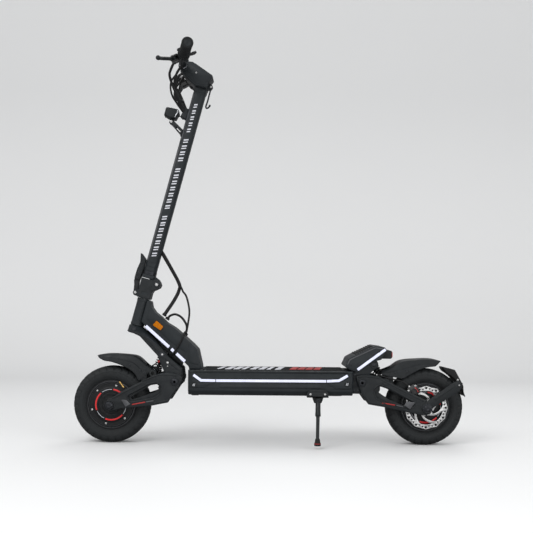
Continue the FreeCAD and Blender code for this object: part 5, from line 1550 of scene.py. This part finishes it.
def axle_nuts(end, axle, seat):
    """Axle with a washer and domed nut beyond |y| = seat on each side."""
    part = Piece(end + "_axle_nuts")
    hexagon = fillet([polar(12.6, rad(60 * i + 10)) for i in range(6)], 0.8, 2)
    for side in SIDES:
        place = flank(side, 0, *axle)
        part.lathe([(seat + 0.2, 8), (seat + 0.2, 15.4), (seat + 1.4, 15.4), (seat + 1.8, 15),
                    (seat + 1.8, 8)], place, 40, loop=True)
        part.slab(hexagon, seat + 1.6, seat + 8.2, place, rim=1.0)
        part.lathe([(seat + 7.6, 8), (seat + 8.2, 8), (seat + 9.6, 7.2), (seat + 9.9, 5.8),
                    (seat + 9.2, 2.4), (seat + 9.2, 0)], place, 32)
    part.rod(seat, 8, flank(1, 0, *axle), 32)
    part.done(end + "_arm", DARK_STEEL, "steel", end + "_axle")


axle_nuts("front", FRONT_AXLE, ARM_OUT)
axle_nuts("rear", REAR_AXLE, STRUT_OUT)


def shock(end, upper, lower, keep):
    """Can, shaft and coil between the eyes; keep, the coil's share left when pressed, is not
    used.
    """
    dx, dz = lower[0] - upper[0], lower[1] - upper[1]
    length = hypot(dx, dz)
    stroke = axis((upper[0], 0, upper[1]), (dx, 0, dz))
    part = Piece(end + "_shock_can")
    part.lathe([(-13, 6.2), (-13, 8.8), (-12.2, 9.5), (12.2, 9.5), (13, 8.8), (13, 6.2)],
               flank(1, 0, *upper), 40, loop=True)
    part.lathe([(6.6, 5.4), (6.6, 9), (10, 9.6), (10.2, 16), (10.8, 16.5), (12.3, 16.5),
                (12.9, 15.8), (13, 10.2), (16, 9.2), (36, 9), (37.2, 8.2), (37.6, 5.4)],
               stroke, 40, loop=True)
    part.done(end + "_damper", DARK_STEEL, "cast_charcoal", end + "_shock_body")
    part = Piece(end + "_shock_shaft")
    part.lathe([(26, 4.9)] + [(length - d, r) for d, r in
                              ((14, 4.9), (14, 16), (13.4, 16.5), (11.6, 16.5), (11, 15.8),
                               (10, 7), (7, 7))], stroke, 36)
    part.lathe([(-13, 9.3), (-13, 12.4), (-12.2, 13), (12.2, 13), (13, 12.4), (13, 9.3)],
               flank(1, 0, *lower), 40, loop=True)
    part.done(end + "_damper_rod", DARK_STEEL, "steel", end + "_shock_rod")
    part = Piece(end + "_coil")
    turns, start, stop = 4.6, 15.2, length - 16.2
    count = int(turns * 22)
    points = []
    for i in range(count + 1):
        t = i / count
        angle = 2 * pi * turns * t
        points.append(stroke(13.4 * cos(angle), 13.4 * sin(angle), start + (stop - start) * t))
    part.tube(points, 2.0, 10, sub=0)
    ob = part.done(end + "_damper", GLOSS, "steel", end + "_spring")
    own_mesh(ob)


shock("front", *FRONT_SHOCK, keep=0.667)
shock("rear", *REAR_SHOCK, keep=0.707)

# red knobs on the fork, and thin stays from the fork to the front guard
part = Piece("fork_adjuster_knob")
for side in SIDES:
    part.lathe([(-4.4, 0), (-4.4, 3.2), (-3.8, 3.9), (3.8, 3.9), (4.4, 3.2), (4.4, 0)],
               axis((-353.6, side * 34, 264.4), (-0.8, 0, -0.6)), 28)
part.done("fork", RED, "steel")
part = Piece("front_guard_stay")
for side in SIDES:
    part.tube([(x, side * 34, z) for x, z in
               ((-350.8, 266.6), (-362, 259.4), (-376.5, 250.0), (-386.0, 243.6))],
              1.5, 10, sub=4)
ob = part.done(None, HOSE, "soft_rubber")
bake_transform(ob)

# =================================================================== guards
GUARD_STATIONS = 26
GUARD_THICK = 3.2


def at_share(curve, share):
    """Point at a share of the curve's length."""
    lengths = [0.0]
    for i in range(1, len(curve)):
        lengths.append(lengths[-1] + (curve[i] - curve[i - 1]).length)
    target = share * lengths[-1]
    for i in range(1, len(curve)):
        if target <= lengths[i] + 1e-9:
            k = (target - lengths[i - 1]) / max(1e-9, lengths[i] - lengths[i - 1])
            return curve[i - 1].lerp(curve[i], k)
    return curve[-1]


def guard_section(wide, tall, thick):
    """(y, height): up one skirt, over the crown and down the other, then back inside."""
    outer = [(wide - 1.2, 0.0), (wide, 1.2), (wide, tall * 0.46), (wide - 0.4, tall * 0.50),
             (wide - 3.2, tall * 0.54), (wide - 5.5, tall * 0.80), (wide - 8.5, tall * 0.93),
             (wide - 15, tall * 0.985), (wide - 26, tall), (0, tall)]
    inner = [(wide - thick * 0.7, 0.0), (wide - thick, 1.2), (wide - thick, tall * 0.45),
             (wide - thick - 0.6, tall * 0.49), (wide - thick - 3.4, tall * 0.54 - 0.4),
             (wide - thick - 5.3, tall * 0.80 - 0.8), (wide - thick - 7.2, tall * 0.93 - 1.8),
             (wide - 16.5, tall * 0.985 - thick), (wide - 26, tall - thick),
             (0, tall - thick)]
    outer += [(-y, h) for y, h in outer[:-1]][::-1]
    inner += [(-y, h) for y, h in inner[:-1]][::-1]
    return outer + inner[::-1]


def guard(end, top, bottom, notch, bracket, foot, screws):
    """Arched guard between its crown and skirt lines (x, z), with brackets and screws."""
    crown, skirt = [spline([(x, 0, z) for x, z in line], 8) for line in (top, bottom)]
    part = Piece(end + "_guard")
    rings = []
    for i in range(GUARD_STATIONS + 1):
        share = i / GUARD_STATIONS
        inside = 0 < i < GUARD_STATIONS
        base = at_share(skirt, share)
        up = at_share(crown, share) - base
        tall = max(up.length, 1e-3)
        up /= tall
        section = guard_section(GUARD_Y * (1.0 if inside else 0.985), tall,
                                GUARD_THICK * (1.0 if inside else 0.8))
        rings.append([(base.x + up.x * h, y, base.z + up.z * h) for y, h in section])
    part.loft(rings)
    ob = part.done(end + "_arm", PLASTIC, "plastic_black", end + "_fender")
    carve(ob, notch, -26, 26)
    part = Piece(end + "_guard_brackets")
    for side in SIDES:
        part.slab(fillet(bracket, 4), 41.6, 44, flank(side), rim=0.8)
        part.slab(fillet(foot, 2), 43, 57.2, flank(side), rim=1.0)
    part.done(end + "_arm", BLACK, "plastic_black")
    part = Piece("guard_screws_" + end)
    for side in SIDES:
        for x, z in screws:
            part.bolt(flank(side, 44.8, x, z), 3.0, 1.6)
    part.done(end + "_arm", DARK_STEEL, "steel")


guard("front",
      top=[(-552.4, 283.4), (-515.7, 287.9), (-453.8, 285.2), (-423.2, 278.4), (-392, 251.9),
           (-373.5, 239.8)],
      bottom=[(-544.3, 273.2), (-527.8, 265.2), (-507.1, 262.2), (-474.2, 251.2),
              (-445.4, 237), (-426.5, 218.8), (-418.3, 201.5), (-404.5, 210.8)],
      notch=rect(-398, 170, -300, 310),
      bracket=[(-410, 190), (-390, 190), (-392, 232), (-408, 240)],
      foot=rect(-407, 191, -393, 203),
      screws=((-414, 236), (-447, 253), (-402, 226)))
guard("rear",
      top=[(556.7, 273.6), (528.6, 279.8), (485.4, 279.5), (431.3, 273.8), (397, 252.9),
           (364.9, 239.7)],
      bottom=[(537.6, 256.4), (511.5, 252.9), (485.7, 245), (453.3, 227.6), (431.8, 216.4),
              (400, 221.5), (366, 227.1)],
      notch=rect(300, 170, 396, 310),
      bracket=[(382, 190), (402, 190), (402, 232), (384, 230)],
      foot=rect(385, 191, 399, 203),
      screws=((408, 236), (446, 240), (392, 226)))

# mudflap and its struts
STRUT = [(500, 140), (511.3, 151.2), (592, 209), (606, 213), (620, 206), (617, 192),
         (609.3, 180), (526, 126), (512, 112), (500, 112)]
FLAP = [(562.3, 254.6), (601.4, 245.3), (613.5, 222.9), (628.5, 194.7), (631, 158.3),
        (617, 171.1), (595, 209.5), (580, 220.4), (571.2, 239.6)]
FLAP_RIB = [(601.0, 244.9), (606, 236.4), (613.4, 222.9), (621, 208.8), (628.4, 194.5),
            (629.4, 182)]
FLAP_Y = 42
TYRE_CLEAR = 131.2      # least distance of the flap from the rear axle
part = Piece("flap_struts")
for side in SIDES:
    part.slab(fillet(STRUT, 4), ARM_OUT, STRUT_OUT, flank(side), rim=1.2,
              holes=[circle(*REAR_AXLE, 8.2, 28)])
    part.slab(strip([(530, 152), (596, 199)], 7.0, 2.4), 72.4, 73.6, flank(side), rim=0.6)
part.rod(70.5, 3.5, flank(1, 0, 613, 204), 24)
part.done("rear_arm", BLACK, "steel", "mudflap_struts")
part = Piece("flap_screws")
for side in SIDES:
    part.bolt(flank(side, FLAP_Y, 609.5, 213.5), 3.4, 2.2)
    part.bolt(flank(side, FLAP_Y, 615.6, 203.5), 3.4, 2.2)
    part.bolt(flank(side, STRUT_OUT, 608.0, 199.0), 2.6, 1.6)
part.done("rear_arm", STEEL, "steel")
part = Piece("flap_rubber")
flap = []
for x, z in dense(fillet(FLAP, [3, 6, 6, 4, 1, 3, 3, 3, 3]), 4):
    dx, dz = x - REAR_AXLE[0], z - REAR_AXLE[1]
    reach = hypot(dx, dz)
    if reach < TYRE_CLEAR:
        x = REAR_AXLE[0] + dx / reach * TYRE_CLEAR
        z = REAR_AXLE[1] + dz / reach * TYRE_CLEAR
    flap.append((x, z))
part.slab(flap, -FLAP_Y, FLAP_Y, flank(), rim=1.4)
for i in range(7):
    part.tube([(x, -33 + i * 11, z) for x, z in FLAP_RIB], 1.5, 8, sub=3)
part.done("rear_arm", SOFT, "soft_rubber", "rear_mudflap")

# ==================================================================== wheels
TYRE_SEGMENTS = 360
# Tyre skin (y, radius) from the left bead to the crown, and the inside (y, radius)
TYRE_HALF = [(-30, 76), (-30, 79.6), (-31.2, 82.2), (-34.6, 86.2), (-36.6, 90), (-37.8, 95),
             (-38.0, 99), (-37.7, 103), (-37.2, 105.2), (-37.2, 106.4), (-36.3, 109.6),
             (-34.6, 113.2), (-32.2, 116), (-29.4, 118.3), (-26.4, 120.3), (-23.6, 121.5),
             (-20.6, 122.7), (-18, 123.5), (-16.2, 123.95), (-13.5, 124), (-9.2, 124),
             (-8.0, 124), (-6.6, 124), (-3.0, 124), (0, 124)]
TYRE_SKIN = TYRE_HALF + [(-y, r) for y, r in TYRE_HALF[:-1]][::-1]
TYRE_INSIDE = [(24, 78), (29, 92), (27, 107), (14, 112), (0, 113), (-14, 112), (-27, 107),
               (-29, 92), (-24, 78)]
# Hub shell (w, radius); w is positive on the brake disc's side
HUB_SHELL = [(-44, 8.3), (-44, 15.6), (-43, 17), (-38.6, 20), (-38, 21.4), (-38, 27.6),
             (-37.2, 28.4), (-36.4, 29.2), (-36.4, 40.4), (-37.4, 41.6), (-37.4, 56.4),
             (-36.6, 57.6), (-36, 58.4), (-36, 68.0), (-36.8, 69.0), (-36.8, 71),
             (-35.6, 72.4), (-33.2, 73.6), (-33.2, 79.4), (-32.2, 80.5), (-30.4, 80.5),
             (-30, 79.6), (-30, 76.2), (30, 76.2), (30, 79.6), (30.4, 80.5), (32.2, 80.5),
             (33.2, 79.4), (33.2, 73.6), (35.6, 72.4), (36.6, 71), (36.6, 58.4), (36, 57.6),
             (36, 44), (37.8, 42.2), (38, 40), (38, 25.4), (39, 24), (48, 22), (49, 21),
             (49, 18.4), (50.8, 17.6), (51, 16), (51, 8.3)]
SPOKE_RADII = [27.0, 31.0, 36.0, 41.0, 46.0, 50.5, 54.4]


def groove(y, radius, i):
    """Depth cut into the tread at skin point (y, radius) of segment i."""
    wide = abs(y)
    stagger = i + (6 if y > 0 else 0)
    if 28.5 <= wide < 37.3 and 105 < radius < 119 and stagger % 12 < 3:
        return 3.2      # shoulder blocks
    if 12.5 <= wide <= 27 and radius > 119.5 and (stagger + int(wide * 0.42)) % 12 < 3:
        return 2.8      # slanted cuts
    if 7.4 < wide < 9.0:
        return 2.4      # grooves beside the centre rib
    if wide < 3.5 and radius > 123.9 and (i + (2 if y > 1 else (4 if y < -1 else 3))) % 6 == 0:
        return 1.6      # nicks in the centre rib
    return 0.0


def tyre(end, axle, body):
    part = Piece(end + "_tyre_carcass")
    rings = []
    for i in range(TYRE_SEGMENTS):
        angle = 2 * pi * i / TYRE_SEGMENTS
        section = [(y, r - groove(y, r, i)) for y, r in TYRE_SKIN] + TYRE_INSIDE
        rings.append([(axle[0] + r * cos(angle), y, axle[1] + r * sin(angle))
                      for y, r in section])
    part.loft(rings, loop=True)
    part.done(body, TYRE, "tyre_rubber", end + "_tyre", sharp=38)
    part = Piece(end + "_tyre_beads")
    for side in SIDES:
        place = flank(side, 0, *axle)
        for r, w in ((84.6, 33.7), (88.6, 35.9), (92.4, 37.4), (105.6, 37.3)):
            part.lathe([(w - 0.6, r - 0.9), (w + 0.35, r - 0.5), (w + 0.35, r + 0.5),
                        (w - 0.6, r + 0.9)], place, 120, loop=True)
        for i in range(72):
            a = 2 * pi * i / 72
            part.slab([polar(97.2, a), polar(103.4, a), polar(103.4, a + 0.022),
                       polar(97.2, a + 0.022)], 37.0, 38.25, place, rim=0.2, steps=1)
    part.done(body, TYRE, "tyre_rubber")


def hub(end, axle, side, body):
    places = [flank(s, 0, *axle) for s in SIDES]
    part = Piece(end + "_hub_shell")
    part.lathe(HUB_SHELL, flank(side, 0, *axle), 96, loop=True)
    for place in places:
        for i in range(12):
            part.slab(arc_band(30.4, 39.6, 30 * i + 4, 30 * i + 26, 6), 35.6, 36.9, place,
                      rim=0.5, steps=2)
    part.done(body, HUB[end], "cast_charcoal", end + "_hub_motor")
    part = Piece(end + "_rim_lips")
    for place in places:
        part.lathe([(33.0, 74.2), (33.5, 74.6), (33.5, 76.0), (33.0, 76.4)], place, 120,
                   loop=True)
        part.lathe([(36.2, 69.6), (37.0, 69.9), (37.0, 70.5), (36.2, 70.8)], place, 120,
                   loop=True)
    part.done(body, RIM_EDGE, "alu")
    part = Piece(end + "_hub_red_arcs")
    for place in places:
        for a0, a1 in ((8.5, 78.5), (131.5, 201.4), (249, 318.4)):
            part.slab(arc_band(46.6, 51.6, a0, a1, 24), 36.6, 37.85, place, rim=0.35, steps=2)
    part.done(body, HUB_RED, "frame_black")
    part = Piece(end + "_hub_pale_arcs")
    for place in places:
        for a0, a1 in ((84, 126), (207, 243.5), (324, 363)):
            part.slab(arc_band(48.4, 49.8, a0, a1, 16), 36.6, 37.75, place, rim=0.2, steps=1)
    part.done(body, PALE, "alu")
    part = Piece(end + "_hub_screws")
    for s in SIDES:
        for degree in (-45, 14.7, 74.8, 134.8, 194.7, 254.8):
            a = rad(degree)
            part.bolt(flank(s, 36, axle[0] + 63 * sin(a), axle[1] + 63 * cos(a)), 3.3, 2.3)
    part.done(body, STEEL, "steel")
    part = Piece(end + "_cover_screws")
    for i in range(6):
        a = rad(60 * i + 20)
        part.bolt(flank(-side, 38, axle[0] + 24.6 * sin(a), axle[1] + 24.6 * cos(a)), 2.2, 1.2)
    part.done(body, DARK_STEEL, "steel")


def valve(end, axle, body):
    part = Piece(end + "_valve")
    if end == "rear":
        a = rad(52)
        part.lathe([(0, 3.4), (3, 3.4), (3.6, 2.6), (9, 2.6), (9.4, 3.2), (14.4, 3.2),
                    (15, 2.6), (15, 0)],
                   axis((axle[0] + 74.5 * sin(a), -32.0, axle[1] + 74.5 * cos(a)),
                        (-sin(a) * 0.55, -0.6, -cos(a) * 0.55)), 20)
    else:
        part.lathe([(-2, 3.2), (6, 3.2), (6.6, 2.4), (15, 2.4), (15.4, 2.9), (22.4, 2.9),
                    (23, 2.4), (23, 0)],
                   axis((axle[0] + 27.6, -33.5, axle[1] + 71.9), (0.611, -0.25, -0.749)), 20)
    part.done(body, BRASS, "steel")


def spoke_angle(number, radius, offset):
    """Angle on a swept disc spoke, offset sideways from its middle line."""
    sweep = 62.0 * ((radius - 26.0) / 29.0) ** 0.85 + degrees(offset / radius)
    return 60 * number + sweep


def disc_window(i):
    """Opening between spoke i and the next one."""
    points = [polar(r, rad(spoke_angle(i, r, 4.6 + 3.2 * (r - 27) / 27.4)))
              for r in SPOKE_RADII]
    start, stop = spoke_angle(0, 54.4, 7.8), 60 + spoke_angle(0, 54.4, -7.8)
    points += [polar(54.6, rad(60 * i + start + (stop - start) * t)) for t in (0.25, 0.5, 0.75)]
    points += [polar(r, rad(spoke_angle(i + 1, r, -4.6 - 3.2 * (r - 27) / 27.4)))
               for r in SPOKE_RADII[::-1]]
    return fillet(points, 2.0)


def brake_disc(end, axle, side, body):
    part = Piece(end + "_disc")
    outline = []
    for i in range(144):
        wave = ((i % 12) - 6) / 6.0
        outline.append(polar(70.0 - 3.4 * (1.0 - abs(wave)) ** 0.85, 2 * pi * i / 144))
    holes = []
    for i in range(12):
        holes.append(circle(*polar(63.2, rad(30 * i)), 3.7, 16))
        holes.append(circle(*polar(59.6, rad(30 * i + 10)), 2.5, 12))
        a = rad(30 * i + 18)
        slot = [tuple(Vector(polar(60.0, a))), tuple(Vector(polar(63.6, a + 0.05)))]
        holes.append(fillet(band(slot, 4.3), 1.9, 3))
    holes += [disc_window(i) for i in range(6)]
    holes.append(circle(0, 0, 18, 40))
    part.slab(outline, 49.0, 51.0, flank(side, 0, *axle), rim=0.35, steps=2, holes=holes)
    part.done(body, ROTOR[end], "steel", end + "_brake_disc")
    part = Piece(end + "_disc_screws")
    for i in range(6):
        a = rad(60 * i - 28)
        part.bolt(flank(side, 51, axle[0] + 23 * cos(a), axle[1] + 23 * sin(a)), 3.0, 1.8)
    part.done(body, DARK_STEEL, "steel")


# the front disc is on the right, the rear disc on the left
for end, axle, side in (("front", FRONT_AXLE, 1), ("rear", REAR_AXLE, -1)):
    body = end + "_wheel"
    tyre(end, axle, body)
    hub(end, axle, side, body)
    valve(end, axle, body)
    brake_disc(end, axle, side, body)


# ------------------------------------------------------------------- calipers
def caliper(end, axle, side, degree, hose):
    """Caliper over the disc; its u axis points out from the axle at the given angle."""
    turn_cos, turn_sin = cos(rad(degree)), sin(rad(degree))
    body = end + "_arm"

    def place(u, v, w):
        return (axle[0] + u * turn_cos - v * turn_sin, side * w,
                axle[1] + u * turn_sin + v * turn_cos)
    part = Piece(end + "_caliper_body")
    for foot, low, high, rim, steps in ((16, 51.9, 60.5, 2.4, 4), (15.6, 43.4, 48.1, 1.4, 3)):
        part.slab(fillet([(51, -foot if steps == 3 else -16), (80, -19.4), (87.4, -12),
                          (87.4, 12), (80, 19.4), (51, foot)], 4), low, high, place,
                  rim=rim, steps=steps)
    part.slab(fillet([(73.6, -18), (80, -19.2), (87.2, -12), (87.2, 12), (80, 19.2),
                      (73.6, 18)], 3), 47.6, 52.4, place, rim=0.4)
    part.lathe([(60, 9.4), (62.4, 9.4), (63.2, 8.6), (63.2, 6.6), (62.2, 6), (62.2, 0)],
               shifted(place, 66), 36)
    part.done(body, GLOSS, "cast_charcoal", end + "_caliper")
    part = Piece(end + "_caliper_fittings")
    for v in (-13.5, 13.5):
        part.bolt(shifted(place, 79, v, 60.5), 3.3, 2.2)
    part.lathe([(0, 4.4), (4.6, 4.4), (5.2, 3.8), (5.2, 0)],
               lambda u, v, w: place(86 + w, 4 + u, 56 + v), 24)
    part.done(body, STEEL, "steel")
    part = Piece(end + "_caliper_mark")
    part.slab(fillet(rect(57, -11.2, 75, -7.6), 0.8), 60.1, 60.9, place, rim=0.2, steps=1)
    part.done(body, RED, "steel")
    part = Piece(end + "_caliper_hose")
    part.tube([place(91, 4, 56)] + hose, 2.6, 12)
    part.done(body, HOSE, "soft_rubber")


caliper("front", FRONT_AXLE, 1, 53.0,
        hose=[(-430, 52, 206), (-414, 50, 212), (-396, 50.5, 216), (-380, 51.5, 224),
              (-366, 52.5, 232)])
caliper("rear", REAR_AXLE, -1, 127.0,
        hose=[(432, -52, 206), (412, -50, 212), (392, -50.5, 216), (372, -51.5, 222),
              (352, -52.5, 228)])

# ------------------------------------------------ the CAD parts that stay on show
SLOT_MATERIALS = {
    "frame_black": BLACK, "cast_charcoal": CHARCOAL, "plastic_black": PLASTIC,
    "tyre_rubber": TYRE, "soft_rubber": SOFT, "mat_rubber": MAT, "light_strip": LED,
    "amber": AMBER, "red_lens": RED_LENS, "clear_lens": CLEAR_LENS, "steel": STEEL,
    "alu": ALU, "display": GLASS, "battery": PLASTIC}
# used where the record gives no known slot; anything else is plastic
NODE_MATERIALS = {"deck_lid": BLACK, "deck_screws": STEEL, "headset_bearings": STEEL,
                  "fork_yoke": BLACK, "hinge_base": BLACK}
for name, ob in frame["nodes"].items():
    if ob.hide_render:
        continue
    slot = next((entry.get("material_slot") for entry in frame["record"].get("subparts", [])
                 if name in (entry.get("node"), entry.get("name"))), None)
    material = SLOT_MATERIALS.get(slot) or NODE_MATERIALS.get(name, PLASTIC)
    if len(ob.material_slots) == 0:
        ob.data.materials.append(material)
    for material_slot in ob.material_slots:
        material_slot.material = material

# ===================================================================== studio
# Lengths from here on are metres.
scene = bpy.context.scene


def studio_floor():
    """Floor that sweeps up behind; it looks paler to the camera than to other rays."""
    mat = Shader("studio_floor")
    seen = mat.mix(mat.ramp(mat.noise(2.0, 3.0), 0.0, 0.4), (0.87, 0.878, 0.883),
                   (0.90, 0.906, 0.91))
    camera_ray = mat.new("ShaderNodeLightPath").outputs["Is Camera Ray"]
    mat.surface(Base_Color=mat.mix(camera_ray, (0.34, 0.34, 0.345), seen), Roughness=0.55)
    half_width, bend_y, bend = 14.0, 2.6, 2.4
    profile = [(-9.0, 0.0), (bend_y, 0.0)]
    profile += [(bend_y + bend * sin(rad(6 * i)), bend - bend * cos(rad(6 * i)))
                for i in range(1, 16)]
    profile += [(bend_y + bend, 9.0)]
    verts, faces = [], []
    for i, (y, z) in enumerate(profile):
        verts += [(-half_width, y, z), (half_width, y, z)]
        if i:
            faces.append((2 * i - 2, 2 * i - 1, 2 * i + 1, 2 * i))
    mesh = bpy.data.meshes.new("studio_floor")
    mesh.from_pydata(verts, [], faces)
    mesh.materials.append(mat.mat)
    ob = bpy.data.objects.new("studio_floor", mesh)
    scene.collection.objects.link(ob)
    for face in mesh.polygons:
        face.use_smooth = True


def lamp(name, place, aim, size, power, size_y=None):
    light = bpy.data.lights.new(name, "AREA")
    light.shape = "RECTANGLE" if size_y else "SQUARE"
    light.size = size
    if size_y:
        light.size_y = size_y
    light.energy = power
    ob = bpy.data.objects.new(name, light)
    scene.collection.objects.link(ob)
    ob.location = place
    ob.rotation_euler = (Vector(aim) - Vector(place)).to_track_quat("-Z", "Y").to_euler()


studio_floor()
world = bpy.data.worlds.new("studio")
scene.world = world
world.use_nodes = True
background = world.node_tree.nodes["Background"]
background.inputs["Color"].default_value = (1.0, 1.0, 1.0, 1)
background.inputs["Strength"].default_value = 0.86

lamp("key", place=(-1.8, -2.6, 2.9), aim=(0, 0, 0.4), size=1.8, power=56)
lamp("fill", place=(2.4, -2.4, 1.3), aim=(0.1, 0, 0.3), size=1.6, power=22)
lamp("rim", place=(0.6, 2.0, 2.6), aim=(0, 0, 0.4), size=1.6, power=16)
lamp("low", place=(0.0, -2.6, 0.35), aim=(0, 0, 0.2), size=2.4, power=8, size_y=0.5)

# camera on the left side, level, rolled by half a degree
lens = bpy.data.cameras.new("camera")
camera = bpy.data.objects.new("camera", lens)
scene.collection.objects.link(camera)
camera.matrix_world = (Matrix.Translation((-0.008, -2.850, 0.427))
                       @ Matrix.Rotation(rad(90), 4, "X") @ Matrix.Rotation(rad(0.5), 4, "Z"))
lens.sensor_width = 36.0
lens.lens = 58.87
lens.shift_y = 0.0854
lens.clip_start = 0.05
scene.camera = camera
scene.view_settings.view_transform = "Standard"
